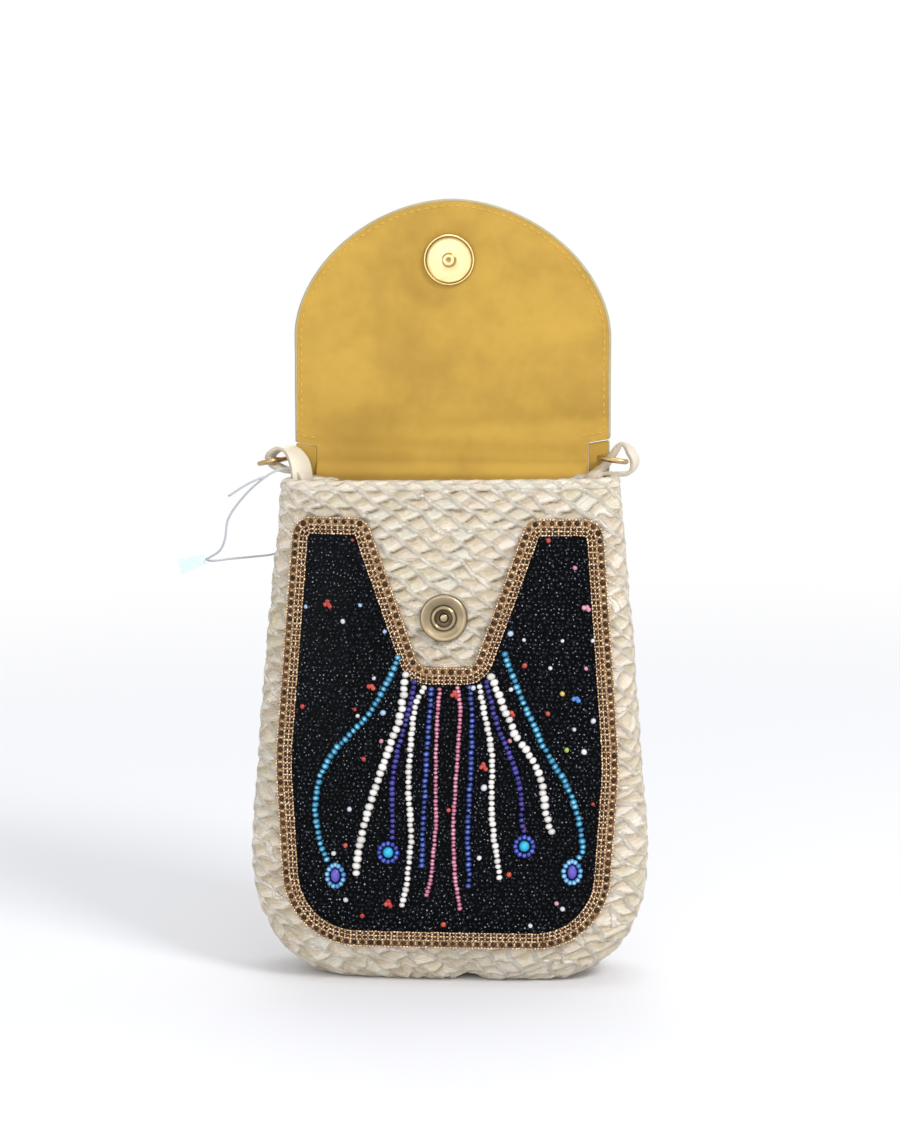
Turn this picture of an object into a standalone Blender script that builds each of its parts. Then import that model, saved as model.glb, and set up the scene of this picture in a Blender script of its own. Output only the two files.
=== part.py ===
"""Crossbody phone bag of plaited straw with a bead-embroidered front and a snap flap.

The bag stands on its base with the flap up. Metres, +Z up, the front faces -Y.
The origin lies in the middle of the base. Run it with
blender --background --python part.py, or from the text editor.
"""

import math

import bmesh
import bpy
import numpy as np
from mathutils import Matrix, Vector

# Clearances
GAP = 0.0003
HOLE_CLEARANCE = 0.0003

# Straw body
BODY_HEIGHT = 0.180
MOUTH_WIDTH = 0.1192
MOUTH_DEPTH = 0.024
BELLY_WIDTH = 0.1422
BELLY_DEPTH = 0.042
BELLY_HEIGHT = 0.045
DEEPEST_HEIGHT = 0.024
BASE_WIDTH_CUT = 0.036
BASE_DEPTH_CUT = 0.011
SIDE_BOW = 1.2
SECTION_POWER = 3.6
CORNER_POWER = 2.2
STRAW_WALL = 0.0018
PLAIT_RELIEF = 0.0006
PLAIT_COLUMNS = 52
PLAIT_ROWS = 26
WALL_LEVELS = 6

# Pocket lining and mouth binding
LINING_WALL = 0.0006
BINDING_WALL = 0.0008
BINDING_ROLL = 0.0012
BINDING_OUTER_DROP = 0.005
BINDING_INNER_DROP = 0.004

# Flap
FLAP_WIDTH = 0.1140
FLAP_LENGTH = 0.0981
FLAP_STRAIGHT = 0.049
FLAP_TIP_POWER = 1.85
FLAP_STRAW_WALL = 0.0014
FLAP_ROOT_LIFT = 0.0005
FLAP_ROOT_LEFT = 0.0088
FLAP_ROOT_RIGHT = 0.0108
FLAP_SHOULDER = 0.0018
FLAP_RIM = 0.0012
FLAP_STANDOFF = 0.0054
FLAP_SPLIT = 0.0003
FLAP_COLUMNS = 20
PLAIT_PITCH = 0.0055

# Magnetic snap
SNAP_X = -0.001
SNAP_FROM_ROOT = 0.0765
FLAP_SNAP_DIAMETER = 0.0185
FLAP_SNAP_PLATE = 0.0009
FLAP_SNAP_RIM_HEIGHT = 0.0012
FLAP_SNAP_RIM_WIDTH = 0.0012
NUB_DIAMETER = 0.004
NUB_HEIGHT = 0.0029
BODY_SNAP_DIAMETER = 0.017
SNAP_CAP_HEIGHT = 0.0025
SNAP_CAP_WALL = 0.0005
SNAP_HOLE_DIAMETER = 0.006
SNAP_RING_DIAMETER = 0.009
SNAP_RING_HEIGHT = 0.0003
MAGNET_THICKNESS = 0.0007
SNAP_BASE_THICKNESS = 0.0005
STEM_DIAMETER = 0.005
WASHER_DIAMETER = 0.015
WASHER_THICKNESS = 0.0005
ROUND_STEPS = 24
SMALL_ROUND_STEPS = 12

# Beaded panel
PANEL_CLEARANCE = 0.0006
PANEL_BACKING = 0.0007
PANEL_FIELD = 0.0012
BORDER_BEAD = 0.0018
BORDER_PITCH = 0.00195
BORDER_STEP = 0.0070
PANEL_BOTTOM = 0.012
PANEL_HALF_WIDTH = 0.0618
PANEL_WIDEST_HEIGHT = 0.080
PANEL_TOP_DROP = 0.0117
LOBE_OUTER = 0.0552
LOBE_INNER = 0.0286
NOTCH_HALF_WIDTH = 0.0096
NOTCH_DROP = 0.0174
PANEL_FOOT_HALF_WIDTH = 0.0575
PANEL_FOOT_RISE = 0.002
FOOT_RADIUS = 0.027
WAIST_RADIUS = 0.120
LOBE_OUTER_RADIUS = 0.0075
LOBE_INNER_RADIUS = 0.0065
NOTCH_RADIUS = 0.005

# Bead strands that fan down from the notch
STRAND_DROP = 0.0035
STRAND_FIRST_X = 0.003
STRAND_START_PITCH = 0.0034
STRAND_HEIGHT = 0.0012
CABOCHON_DIAMETER = 0.0042
ROSETTE_DIAMETER = 0.0084
ROSETTE_HEIGHT = 0.0011
ROSETTE_BEADS = 8

# Tabs and D-rings
TAB_BAY = 0.0106
TAB_WIDTH = 0.0056
TAB_THICKNESS = 0.0010
RING_WIRE = 0.0020
RING_SIDE_CLEARANCE = 0.0020
RING_REACH = 0.0082
LEFT_RING_DROOP = math.radians(12)
RIGHT_RING_DROOP = math.radians(-8)

# Swing tag and its thread
TAG_LENGTH = 0.0096
TAG_WIDTH = 0.0056
TAG_THICKNESS = 0.0004
TAG_OUT = 0.0344
TAG_DROP = 0.0326
THREAD_DIAMETER = 0.0008
THREAD_POINTS = 52

MATERIALS = {
    "straw": ((0.80, 0.74, 0.62), 0.75, 0.0),
    "binding": ((0.82, 0.77, 0.66), 0.65, 0.0),
    "lining": ((0.60, 0.38, 0.07), 0.85, 0.0),
    "black_beads": ((0.012, 0.012, 0.016), 0.22, 0.0),
    "black_cloth": ((0.02, 0.02, 0.022), 0.9, 0.0),
    "gold_beads": ((0.45, 0.26, 0.11), 0.30, 0.6),
    "turquoise_beads": ((0.02, 0.42, 0.62), 0.25, 0.0),
    "white_beads": ((0.85, 0.83, 0.80), 0.30, 0.0),
    "violet_beads": ((0.05, 0.05, 0.32), 0.25, 0.0),
    "blue_beads": ((0.04, 0.14, 0.50), 0.25, 0.0),
    "pink_beads": ((0.62, 0.16, 0.30), 0.30, 0.0),
    "cabochon": ((0.05, 0.55, 0.80), 0.15, 0.0),
    "gold_metal": ((0.86, 0.66, 0.34), 0.28, 1.0),
    "nickel_metal": ((0.78, 0.73, 0.64), 0.30, 1.0),
    "magnet": ((0.20, 0.20, 0.21), 0.5, 0.8),
    "tab_leather": ((0.80, 0.74, 0.66), 0.5, 0.0),
    "thread": ((0.80, 0.82, 0.85), 0.4, 0.0),
    "tag_card": ((0.68, 0.82, 0.90), 0.6, 0.0),
}

# Heights and depths that follow from the sizes above
BINDING_TOP = BODY_HEIGHT + GAP + BINDING_ROLL
FLAP_ROOT_WIDTH = MOUTH_WIDTH - 2 * TAB_BAY
HINGE_Z = BINDING_TOP + FLAP_ROOT_LIFT
FLAP_THICKNESS = LINING_WALL + GAP + FLAP_STRAW_WALL
BACK_HINGE_Y = MOUTH_DEPTH / 2 - FLAP_THICKNESS
LEAN = math.atan((BELLY_DEPTH - MOUTH_DEPTH) / 2 / (BODY_HEIGHT - DEEPEST_HEIGHT))
FRONT_HINGE_Y = -(MOUTH_DEPTH / 2 - (HINGE_Z - BODY_HEIGHT) * math.tan(LEAN)) - FLAP_STANDOFF
BRIDGE_LENGTH = BACK_HINGE_Y - FRONT_HINGE_Y
SNAP_REACH = SNAP_FROM_ROOT - BRIDGE_LENGTH
SNAP_Z = HINGE_Z - SNAP_REACH * math.cos(LEAN)
SNAP_SEAT = PLAIT_RELIEF + GAP
PANEL_TOP = BODY_HEIGHT - PANEL_TOP_DROP
NOTCH_BOTTOM = SNAP_Z - NOTCH_DROP
PANEL_SEAT = PLAIT_RELIEF + PANEL_CLEARANCE
LINING_INSET = STRAW_WALL + GAP
BINDING_INSET = LINING_INSET + LINING_WALL + GAP


def clear_scene():
    """Remove what a new file holds."""
    for item in list(bpy.data.objects):
        bpy.data.objects.remove(item, do_unlink=True)


def finish(name):
    """Return the material of this name, made on its first use."""
    material = bpy.data.materials.get(name)
    if material is None:
        colour, roughness, metallic = MATERIALS[name]
        material = bpy.data.materials.new(name)
        material.use_nodes = True
        shader = material.node_tree.nodes["Principled BSDF"]
        shader.inputs["Base Color"].default_value = (*colour, 1.0)
        shader.inputs["Roughness"].default_value = roughness
        shader.inputs["Metallic"].default_value = metallic
    return material


def add_solid(name, points, faces, material, place=None, smooth=False):
    """Make an object of a closed mesh, with its faces turned outwards."""
    mesh = bpy.data.meshes.new(name)
    mesh.from_pydata([tuple(point) for point in points], [], faces)
    shell = bmesh.new()
    shell.from_mesh(mesh)
    bmesh.ops.recalc_face_normals(shell, faces=shell.faces)
    shell.to_mesh(mesh)
    shell.free()
    if smooth:
        mesh.shade_smooth()
        mesh.set_sharp_from_angle(angle=math.radians(35))
    solid = bpy.data.objects.new(name, mesh)
    solid.data.materials.append(finish(material))
    if place is not None:
        solid.matrix_world = place
    bpy.context.scene.collection.objects.link(solid)
    return solid


def loft(rings, closed=False):
    """Return the points and faces of a skin over rings of as many points each."""
    size = len(rings[0])
    points = [point for ring in rings for point in ring]
    faces = []
    spans = len(rings) if closed else len(rings) - 1
    for row in range(spans):
        lower = row * size
        upper = (row + 1) % len(rings) * size
        for column in range(size):
            after = (column + 1) % size
            faces.append((lower + column, lower + after, upper + after, upper + column))
    if not closed:
        faces.append(tuple(reversed(range(size))))
        faces.append(tuple(range(len(points) - size, len(points))))
    return points, faces


def turned(name, profile, material, place, steps=ROUND_STEPS):
    """Spin a closed profile of (radius, height) points about its axis; radius 0 closes it."""
    shell = bmesh.new()
    corners = [shell.verts.new((radius, 0, height)) for radius, height in profile]
    edges = [shell.edges.new(pair) for pair in zip(corners, corners[1:])]
    if profile[0][0] > 0:
        edges.append(shell.edges.new((corners[-1], corners[0])))
    bmesh.ops.spin(shell, geom=corners + edges, cent=(0, 0, 0), axis=(0, 0, 1),
                   angle=math.tau, steps=steps, use_merge=False)
    bmesh.ops.remove_doubles(shell, verts=shell.verts, dist=1e-6)
    points = [vert.co.copy() for vert in shell.verts]
    faces = [tuple(vert.index for vert in face.verts) for face in shell.faces]
    shell.free()
    return add_solid(name, points, faces, material, place, smooth=True)


def cut(target, cutter):
    """Take the cutter's form out of the target and drop the cutter."""
    change = target.modifiers.new("cut", "BOOLEAN")
    change.operation = "DIFFERENCE"
    change.solver = "EXACT"
    change.object = cutter
    hide_guide(cutter)


def hide_guide(guide):
    """Keep a cutter out of the model."""
    guide.hide_render = True
    guide.display_type = "WIRE"


def half_width(height):
    """Half the straw body's width at a height."""
    belly = BELLY_WIDTH / 2
    if height >= BELLY_HEIGHT:
        rise = (height - BELLY_HEIGHT) / (BODY_HEIGHT - BELLY_HEIGHT)
        return belly - (belly - MOUTH_WIDTH / 2) * rise ** SIDE_BOW
    fall = min(1.0, (BELLY_HEIGHT - height) / BELLY_HEIGHT)
    return belly - BASE_WIDTH_CUT * (1 - (1 - fall ** CORNER_POWER) ** (1 / CORNER_POWER))


def half_depth(height):
    """Half the straw body's depth at a height."""
    deepest = BELLY_DEPTH / 2
    if height >= DEEPEST_HEIGHT:
        rise = (height - DEEPEST_HEIGHT) / (BODY_HEIGHT - DEEPEST_HEIGHT)
        return deepest - (deepest - MOUTH_DEPTH / 2) * rise
    fall = min(1.0, (DEEPEST_HEIGHT - height) / DEEPEST_HEIGHT)
    return deepest - BASE_DEPTH_CUT * (1 - math.sqrt(1 - fall * fall))


def front_y(x, height):
    """Where the smooth front face lies at a place across the bag and a height."""
    across = min(1.0, abs(x) / half_width(height))
    return -half_depth(height) * (1 - across ** SECTION_POWER) ** (1 / SECTION_POWER)


def section_angles(count):
    """Angles that space points evenly round the bag's middle section."""
    fine = np.linspace(0, math.tau, 2881)
    across, deep = section_point(fine, half_width(BODY_HEIGHT / 2), half_depth(BODY_HEIGHT / 2))
    run = np.concatenate([[0], np.cumsum(np.hypot(np.diff(across), np.diff(deep)))])
    return np.interp(np.arange(count) * run[-1] / count, run, fine)


def section_point(angle, width, depth):
    """A point, or points, of the rounded section with these half sizes."""
    power = 2 / SECTION_POWER
    across = width * np.sign(np.cos(angle)) * np.abs(np.cos(angle)) ** power
    deep = depth * np.sign(np.sin(angle)) * np.abs(np.sin(angle)) ** power
    return across, deep


def wall_levels(count):
    """Heights that space rings evenly along the side's outline."""
    fine = np.linspace(0, BODY_HEIGHT, 1441)
    widths = np.array([half_width(height) for height in fine])
    run = np.concatenate([[0], np.cumsum(np.hypot(np.diff(widths), np.diff(fine)))])
    return np.interp(np.linspace(0, run[-1], count + 1), run, fine)


def body_ring(height, inset, angles, lift=None):
    """A ring of the body at one level, inside the straw's face by the inset."""
    level = inset + height * (BODY_HEIGHT - inset) / BODY_HEIGHT
    ring = []
    for number, angle in enumerate(angles):
        out = 0.0 if lift is None else lift[number]
        across, deep = section_point(angle, half_width(height) - inset + out,
                                     half_depth(height) - inset + out)
        ring.append((across, deep, level))
    return ring


def snap_place():
    """Where the body's snap sits, its own Z out of the front face."""
    return (Matrix.Translation((SNAP_X, -half_depth(SNAP_Z), SNAP_Z))
            @ Matrix.Rotation(math.radians(90) - LEAN, 4, "X"))


def build_straw_body():
    """The plaited straw shell: staggered raised scales outside, a smooth wall inside."""
    angles = section_angles(PLAIT_COLUMNS)
    levels = wall_levels(PLAIT_ROWS)
    rings = []
    for row, height in enumerate(levels):
        edge_row = row in (0, PLAIT_ROWS - 1, PLAIT_ROWS)
        lift = [0.0 if edge_row or (row + column) % 2 else PLAIT_RELIEF
                for column in range(PLAIT_COLUMNS)]
        rings.append(body_ring(height, 0.0, angles, lift))
    outer = len(rings)
    rings += [body_ring(height, STRAW_WALL, angles) for height in reversed(wall_levels(WALL_LEVELS))]
    points, faces = loft(rings)
    split = []
    for number, face in enumerate(faces):
        row, column = divmod(number, PLAIT_COLUMNS)
        if row < outer - 1 and (row + column) % 2:
            split += [(face[0], face[1], face[3]), (face[1], face[2], face[3])]
        elif row < outer - 1:
            split += [(face[0], face[1], face[2]), (face[0], face[2], face[3])]
        else:
            split.append(face)
    body = add_solid("straw_body", points, split, "straw")
    reach = STRAW_WALL + PLAIT_RELIEF
    bore = (STEM_DIAMETER / 2) + HOLE_CLEARANCE
    pocket = (WASHER_DIAMETER / 2) + HOLE_CLEARANCE
    floor = -STRAW_WALL + WASHER_THICKNESS + 2 * GAP
    profile = [(0, -2 * reach), (pocket, -2 * reach), (pocket, floor), (bore, floor),
               (bore, reach), (0, reach)]
    cut(body, turned("body_snap_cutter", profile, "straw", snap_place()))


def build_lining():
    """The cloth pocket inside the straw, open at the mouth."""
    angles = section_angles(PLAIT_COLUMNS)
    levels = wall_levels(WALL_LEVELS)
    rings = [body_ring(height, LINING_INSET, angles) for height in levels]
    inner = LINING_INSET + LINING_WALL
    rings += [body_ring(height, inner, angles) for height in reversed(levels)]
    points, faces = loft(rings)
    add_solid("pocket_lining", points, faces, "lining")


def build_binding():
    """The rolled edge folded over the straw and the lining round the mouth."""
    outside = BINDING_WALL + GAP
    inside = -BINDING_INSET
    deeper = inside - BINDING_WALL
    top = BODY_HEIGHT + GAP
    section = [(GAP, BODY_HEIGHT - BINDING_OUTER_DROP), (outside, BODY_HEIGHT - BINDING_OUTER_DROP),
               (outside + PLAIT_RELIEF, BODY_HEIGHT), (outside, BINDING_TOP),
               (deeper, BINDING_TOP), (deeper, BODY_HEIGHT - BINDING_INNER_DROP),
               (inside, BODY_HEIGHT - BINDING_INNER_DROP), (inside, top), (GAP, top)]
    rings = []
    for angle in section_angles(PLAIT_COLUMNS):
        ring = []
        for out, height in section:
            level = min(height, BODY_HEIGHT)
            across, deep = section_point(angle, half_width(level) + out, half_depth(level) + out)
            ring.append((across, deep, height))
        rings.append(ring)
    points, faces = loft(rings, closed=True)
    add_solid("mouth_binding", points, faces, "binding")


def flap_half_width(reach, inset, root_length):
    """Half the flap's width at a distance from its root, inside its edge by the inset."""
    full = FLAP_WIDTH / 2 - inset
    if reach <= FLAP_STRAIGHT:
        rise = min(1.0, max(0.0, (reach - root_length - inset) / FLAP_SHOULDER))
        root = FLAP_ROOT_WIDTH / 2 - inset
        return root + (full - root) * rise * rise * (3 - 2 * rise)
    share = (reach - FLAP_STRAIGHT) / (FLAP_LENGTH - inset - FLAP_STRAIGHT)
    return full * (1 - min(1.0, share) ** FLAP_TIP_POWER) ** (1 / FLAP_TIP_POWER)


def flap_rows(start, stop):
    """Distances from the root at which a flap panel has its rows."""
    rows = [start]
    shoulder = {root + FLAP_SHOULDER * share for root in (FLAP_ROOT_LEFT, FLAP_ROOT_RIGHT)
                for share in (0, 0.5, 1)}
    rows += [reach for reach in sorted(shoulder) if start < reach < stop]
    straight = min(stop, FLAP_STRAIGHT)
    count = max(1, round((straight - rows[-1]) / PLAIT_PITCH))
    first = rows[-1]
    rows += [first + (straight - first) * step / count for step in range(1, count + 1)]
    if stop > FLAP_STRAIGHT:
        steps = 10
        sweep = math.radians(84)
        run = (stop - FLAP_STRAIGHT) / math.sin(sweep)
        rows += [FLAP_STRAIGHT + run * math.sin(sweep * step / steps) for step in range(1, steps + 1)]
    return rows


def flap_panel(name, start, stop, inset, near, far, relief, material, hinge):
    """A flap panel from start to stop, its cloth side at near and its outer side at far."""
    rows = flap_rows(start, stop)
    across = FLAP_COLUMNS if relief else 2
    points = []
    for row, reach in enumerate(rows):
        left = flap_half_width(reach, inset, FLAP_ROOT_LEFT)
        right = flap_half_width(reach, inset, FLAP_ROOT_RIGHT)
        for column in range(across + 1):
            inside = 0 < column < across and 0 < row < len(rows) - 1
            lift = relief if inside and (row + column) % 2 == 0 else 0.0
            side = 2 * column / across - 1
            points.append((side * (left if side < 0 else right), far + lift, reach - hinge))
    faces = []
    for row in range(len(rows) - 1):
        for column in range(across):
            corner = row * (across + 1) + column
            quad = (corner, corner + 1, corner + across + 2, corner + across + 1)
            turn = (row + column) % 2
            faces += [(quad[turn], quad[turn + 1], quad[(turn + 2) % 4]),
                      (quad[turn], quad[(turn + 2) % 4], quad[(turn + 3) % 4])]
    size = len(points)
    border = list(range(across))
    border += [row * (across + 1) + across for row in range(len(rows) - 1)]
    border += [size - 1 - number for number in range(across)]
    border += [row * (across + 1) for row in range(len(rows) - 1, 0, -1)]
    points += [(points[number][0], near, points[number][2]) for number in border]
    count = len(border)
    for place, number in enumerate(border):
        after = (place + 1) % count
        faces.append((number, border[after], size + after, size + place))
    faces.append(tuple(range(size + count - 1, size - 1, -1)))
    return add_solid(name, points, faces, material,
                     Matrix.Translation((0, BACK_HINGE_Y, HINGE_Z + hinge)))


def build_flap():
    """The flap: one strip that spans the mouth and a tongue that hangs over the front."""
    straw_near = LINING_WALL + GAP
    tip = FLAP_LENGTH - FLAP_RIM / 4
    bridge_end = BRIDGE_LENGTH - FLAP_SPLIT / 2
    tongue_start = BRIDGE_LENGTH + FLAP_SPLIT / 2
    flap_panel("flap_bridge_straw", 0.0, bridge_end, 0.0, straw_near, FLAP_THICKNESS,
               PLAIT_RELIEF, "straw", 0.0)
    flap_panel("flap_bridge_lining", 0.0, bridge_end, FLAP_RIM, 0.0, LINING_WALL, 0.0,
               "lining", 0.0)
    tongue = flap_panel("flap_tongue_straw", tongue_start, tip, 0.0, straw_near,
                        FLAP_THICKNESS, PLAIT_RELIEF, "straw", BRIDGE_LENGTH)
    lining = flap_panel("flap_tongue_lining", tongue_start, tip - FLAP_RIM, FLAP_RIM, 0.0,
                        LINING_WALL, 0.0, "lining", BRIDGE_LENGTH)
    place = flap_snap_place()
    bore = STEM_DIAMETER / 2 + HOLE_CLEARANCE
    reach = FLAP_THICKNESS
    cut(lining, turned("flap_bore_cutter", [(0, -reach), (bore, -reach), (bore, reach), (0, reach)],
                       "lining", place))
    pocket = WASHER_DIAMETER / 2 + HOLE_CLEARANCE
    floor = -(straw_near + WASHER_THICKNESS + GAP)
    cut(tongue, turned("flap_washer_cutter", [(0, floor), (pocket, floor), (pocket, 0), (0, 0)],
                       "straw", place))


def flap_snap_place():
    """Where the flap's snap sits at rest, its own Z out of the lining."""
    return (Matrix.Translation((SNAP_X, BACK_HINGE_Y, HINGE_Z + SNAP_FROM_ROOT))
            @ Matrix.Rotation(math.radians(90), 4, "X"))


def build_flap_snap():
    """The stud half of the magnetic snap: a dished plate with a nub, and its washer."""
    rim = FLAP_SNAP_DIAMETER / 2
    step = rim - FLAP_SNAP_RIM_WIDTH
    face = GAP + FLAP_SNAP_PLATE
    crown = GAP + FLAP_SNAP_RIM_HEIGHT
    nub = NUB_DIAMETER / 2
    tip = GAP + NUB_HEIGHT
    stem = STEM_DIAMETER / 2
    washer_near = -(LINING_WALL + GAP)
    washer_far = washer_near - WASHER_THICKNESS
    profile = [(0, washer_far), (stem, washer_far), (stem, GAP), (rim, GAP),
               (rim, (face + GAP) / 2), (rim - FLAP_SNAP_RIM_WIDTH / 3, crown),
               (step, crown), (step - FLAP_SNAP_RIM_WIDTH / 3, face), (nub, face),
               (nub, tip - nub / 2), (nub / 2, tip), (0, tip)]
    turned("flap_snap_plate", profile, "gold_metal", flap_snap_place())
    turned("flap_snap_washer", washer_profile(washer_far, washer_near), "nickel_metal",
           flap_snap_place())


def washer_profile(low, high):
    """A washer's section between two heights, clear of the snap's stem."""
    bore = STEM_DIAMETER / 2 + HOLE_CLEARANCE
    rim = WASHER_DIAMETER / 2
    return [(bore, low), (rim, low), (rim, high), (bore, high)]


def build_body_snap():
    """The socket half: a cap over a ring magnet, a base with its stem, and a washer inside."""
    place = snap_place()
    rim = BODY_SNAP_DIAMETER / 2
    top = SNAP_SEAT + SNAP_CAP_HEIGHT
    bore = SNAP_HOLE_DIAMETER / 2
    inner = rim - SNAP_CAP_WALL
    ridge = SNAP_RING_DIAMETER / 2
    ceiling = top - SNAP_CAP_WALL
    profile = [(inner, SNAP_SEAT), (rim, SNAP_SEAT), (rim, top - SNAP_CAP_WALL), (rim - SNAP_CAP_WALL, top),
               (ridge + SNAP_CAP_WALL, top - SNAP_RING_HEIGHT), (ridge, top), (bore, top),
               (bore, ceiling - SNAP_RING_HEIGHT), (inner, ceiling - SNAP_RING_HEIGHT)]
    turned("body_snap_cap", profile, "nickel_metal", place)
    magnet_top = ceiling - SNAP_RING_HEIGHT - GAP
    magnet_low = magnet_top - MAGNET_THICKNESS
    magnet_rim = inner - GAP
    turned("body_snap_magnet",
           [(bore + GAP, magnet_low), (magnet_rim, magnet_low), (magnet_rim, magnet_top),
            (bore + GAP, magnet_top)], "magnet", place)
    base_top = magnet_low - GAP
    base_low = max(SNAP_SEAT, base_top - SNAP_BASE_THICKNESS)
    stem = STEM_DIAMETER / 2
    washer_low = -STRAW_WALL + GAP / 2
    turned("body_snap_base",
           [(0, washer_low), (stem, washer_low), (stem, base_low), (magnet_rim, base_low),
            (magnet_rim, base_top), (0, base_top)], "nickel_metal", place)
    turned("body_snap_washer", washer_profile(washer_low, washer_low + WASHER_THICKNESS),
           "nickel_metal", place)


def rounded_outline(corners, step):
    """A closed outline through corners (x, z, radius), each corner rounded by an arc."""
    outline = []
    count = len(corners)
    for number, (x, z, radius) in enumerate(corners):
        corner = Vector((x, z))
        before = Vector(corners[number - 1][:2]) - corner
        after = Vector(corners[(number + 1) % count][:2]) - corner
        before.normalize()
        after.normalize()
        opening = before.angle(after)
        centre = corner + (before + after).normalized() * radius / math.sin(opening / 2)
        tangent = radius / math.tan(opening / 2)
        first = corner + before * tangent - centre
        turn = first.angle_signed(corner + after * tangent - centre)
        pieces = max(3, math.ceil(abs(turn) * radius / step))
        for piece in range(pieces + 1):
            angle = -turn * piece / pieces
            spoke = Matrix.Rotation(angle, 2) @ first
            outline.append(centre + spoke)
    filled = []
    for number, point in enumerate(outline):
        after = outline[(number + 1) % len(outline)]
        pieces = max(1, round((after - point).length / step))
        filled += [point.lerp(after, piece / pieces) for piece in range(pieces)]
    return filled


def panel_outline(inset):
    """The beaded panel's outline, like a shield with a notch for the snap, drawn in by the inset."""
    half = [
        (PANEL_FOOT_HALF_WIDTH, PANEL_BOTTOM + PANEL_FOOT_RISE, FOOT_RADIUS),
        (PANEL_HALF_WIDTH, PANEL_WIDEST_HEIGHT, WAIST_RADIUS),
        (LOBE_OUTER, PANEL_TOP, LOBE_OUTER_RADIUS),
        (LOBE_INNER, PANEL_TOP, LOBE_INNER_RADIUS),
        (NOTCH_HALF_WIDTH, NOTCH_BOTTOM, NOTCH_RADIUS),
    ]
    corners = half + [(-x, z, radius) for x, z, radius in reversed(half)]
    outline = rounded_outline(corners, BORDER_STEP)
    count = len(outline)
    drawn = []
    for number, point in enumerate(outline):
        along = (outline[(number + 1) % count] - outline[number - 1]).normalized()
        drawn.append(point + Vector((-along.y, along.x)) * inset)
    return drawn


def front_slab(name, low, high):
    """A thin slab that follows the front face between two heights off it."""
    across = np.sin(np.radians(np.linspace(-90, 90, 17)))
    levels = np.geomspace(PANEL_BOTTOM / 2, PANEL_TOP + PANEL_BOTTOM / 2, 12)
    points = []
    for out in (low, high):
        for height in levels:
            for share in across:
                x = share * (PANEL_HALF_WIDTH + BORDER_PITCH)
                points.append((x, front_y(x, height) - out, height))
    columns = len(across)
    size = columns * len(levels)
    faces = []
    for row in range(len(levels) - 1):
        for column in range(columns - 1):
            corner = row * columns + column
            above = corner + columns
            for three in ((corner, corner + 1, above + 1), (corner, above + 1, above)):
                faces.append(three)
                faces.append(tuple(size + number for number in reversed(three)))
    border = list(range(columns - 1))
    border += [row * columns + columns - 1 for row in range(len(levels) - 1)]
    border += [size - 1 - number for number in range(columns - 1)]
    border += [row * columns for row in range(len(levels) - 1, 0, -1)]
    for place, number in enumerate(border):
        after = border[(place + 1) % len(border)]
        faces.append((number, size + number, size + after, after))
    return points, faces


def panel_layer(name, inset, low, high, material):
    """A layer of the beaded panel: the front slab, cut to the outline."""
    points, faces = front_slab(name, low, high)
    layer = add_solid(name, points, faces, material)
    outline = panel_outline(inset)
    deep = BELLY_DEPTH
    prism = [[(x, y, z) for x, z in outline] for y in (-deep, -GAP)]
    prism_points, prism_faces = loft(prism)
    guide = add_solid(name + "_outline", prism_points, prism_faces, material)
    change = layer.modifiers.new("outline", "BOOLEAN")
    change.operation = "INTERSECT"
    change.solver = "EXACT"
    change.object = guide
    hide_guide(guide)


def build_panel():
    """The black cloth backing, the field of black beads and the three border rows."""
    backing_top = PANEL_SEAT + PANEL_BACKING
    panel_layer("panel_backing", GAP, PANEL_SEAT, backing_top, "black_cloth")
    band = 3 * BORDER_PITCH + GAP
    field_low = backing_top + GAP
    panel_layer("bead_field", band, field_low, field_low + PANEL_FIELD, "black_beads")
    for row, name in enumerate(("border_row_outer", "border_row_middle", "border_row_inner")):
        outline = panel_outline(BORDER_PITCH * (row + 0.5))
        build_bead_loop(name, outline, field_low)


def build_bead_loop(name, outline, low):
    """One closed row of border beads, its rings swelling and pinching by turns."""
    count = len(outline)
    rings = []
    for number, point in enumerate(outline):
        along = (outline[(number + 1) % count] - outline[number - 1]).normalized()
        side = Vector((-along.y, along.x))
        swell = 1.0 if number % 2 else 0.86
        half = BORDER_BEAD / 2 * swell
        ring = []
        for across, up in ((-1, 0), (0, 1), (1, 0)):
            spot = point + side * half * across
            height = low + BORDER_BEAD * swell * up
            ring.append((spot.x, front_y(spot.x, spot.y) - height, spot.y))
        rings.append(ring)
    points, faces = loft(rings, closed=True)
    add_solid(name, points, faces, "gold_beads")


def strand_kinds():
    """Each strand of one side: name, colour, bead, end across, end height and curl."""
    return [
        ("pink", "pink_beads", 0.0030, 0.0058, 0.0290, 0.0),
        ("blue", "blue_beads", 0.0029, 0.0092, 0.0400, 0.0),
        ("inner_white", "white_beads", 0.0031, 0.0176, 0.0335, 0.15),
        ("violet", "violet_beads", 0.0029, 0.0250, 0.0540, 0.3),
        ("outer_white", "white_beads", 0.0031, 0.0345, 0.0480, 0.4),
        ("turquoise", "turquoise_beads", 0.0029, 0.0430, 0.0450, 0.8),
    ]


def strand_path(order, end_x, end_z, curl, count):
    """Points (x, z) of one strand from the notch down to its end."""
    start_x = STRAND_FIRST_X + STRAND_START_PITCH * order
    slope = (PANEL_TOP - NOTCH_BOTTOM) / (LOBE_INNER - NOTCH_HALF_WIDTH)
    below = 3 * BORDER_PITCH + STRAND_DROP
    bend = NOTCH_HALF_WIDTH + below * (math.hypot(1, slope) - 1) / slope
    start_z = NOTCH_BOTTOM - below + max(0.0, start_x - bend) * slope
    path = []
    for number in range(count):
        share = number / (count - 1)
        ease = share * share * (3 - 2 * share)
        spread = share * (1 - curl) + ease * curl
        path.append(Vector((start_x + (end_x - start_x) * spread,
                            start_z + (end_z - start_z) * share)))
    return path


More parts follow.
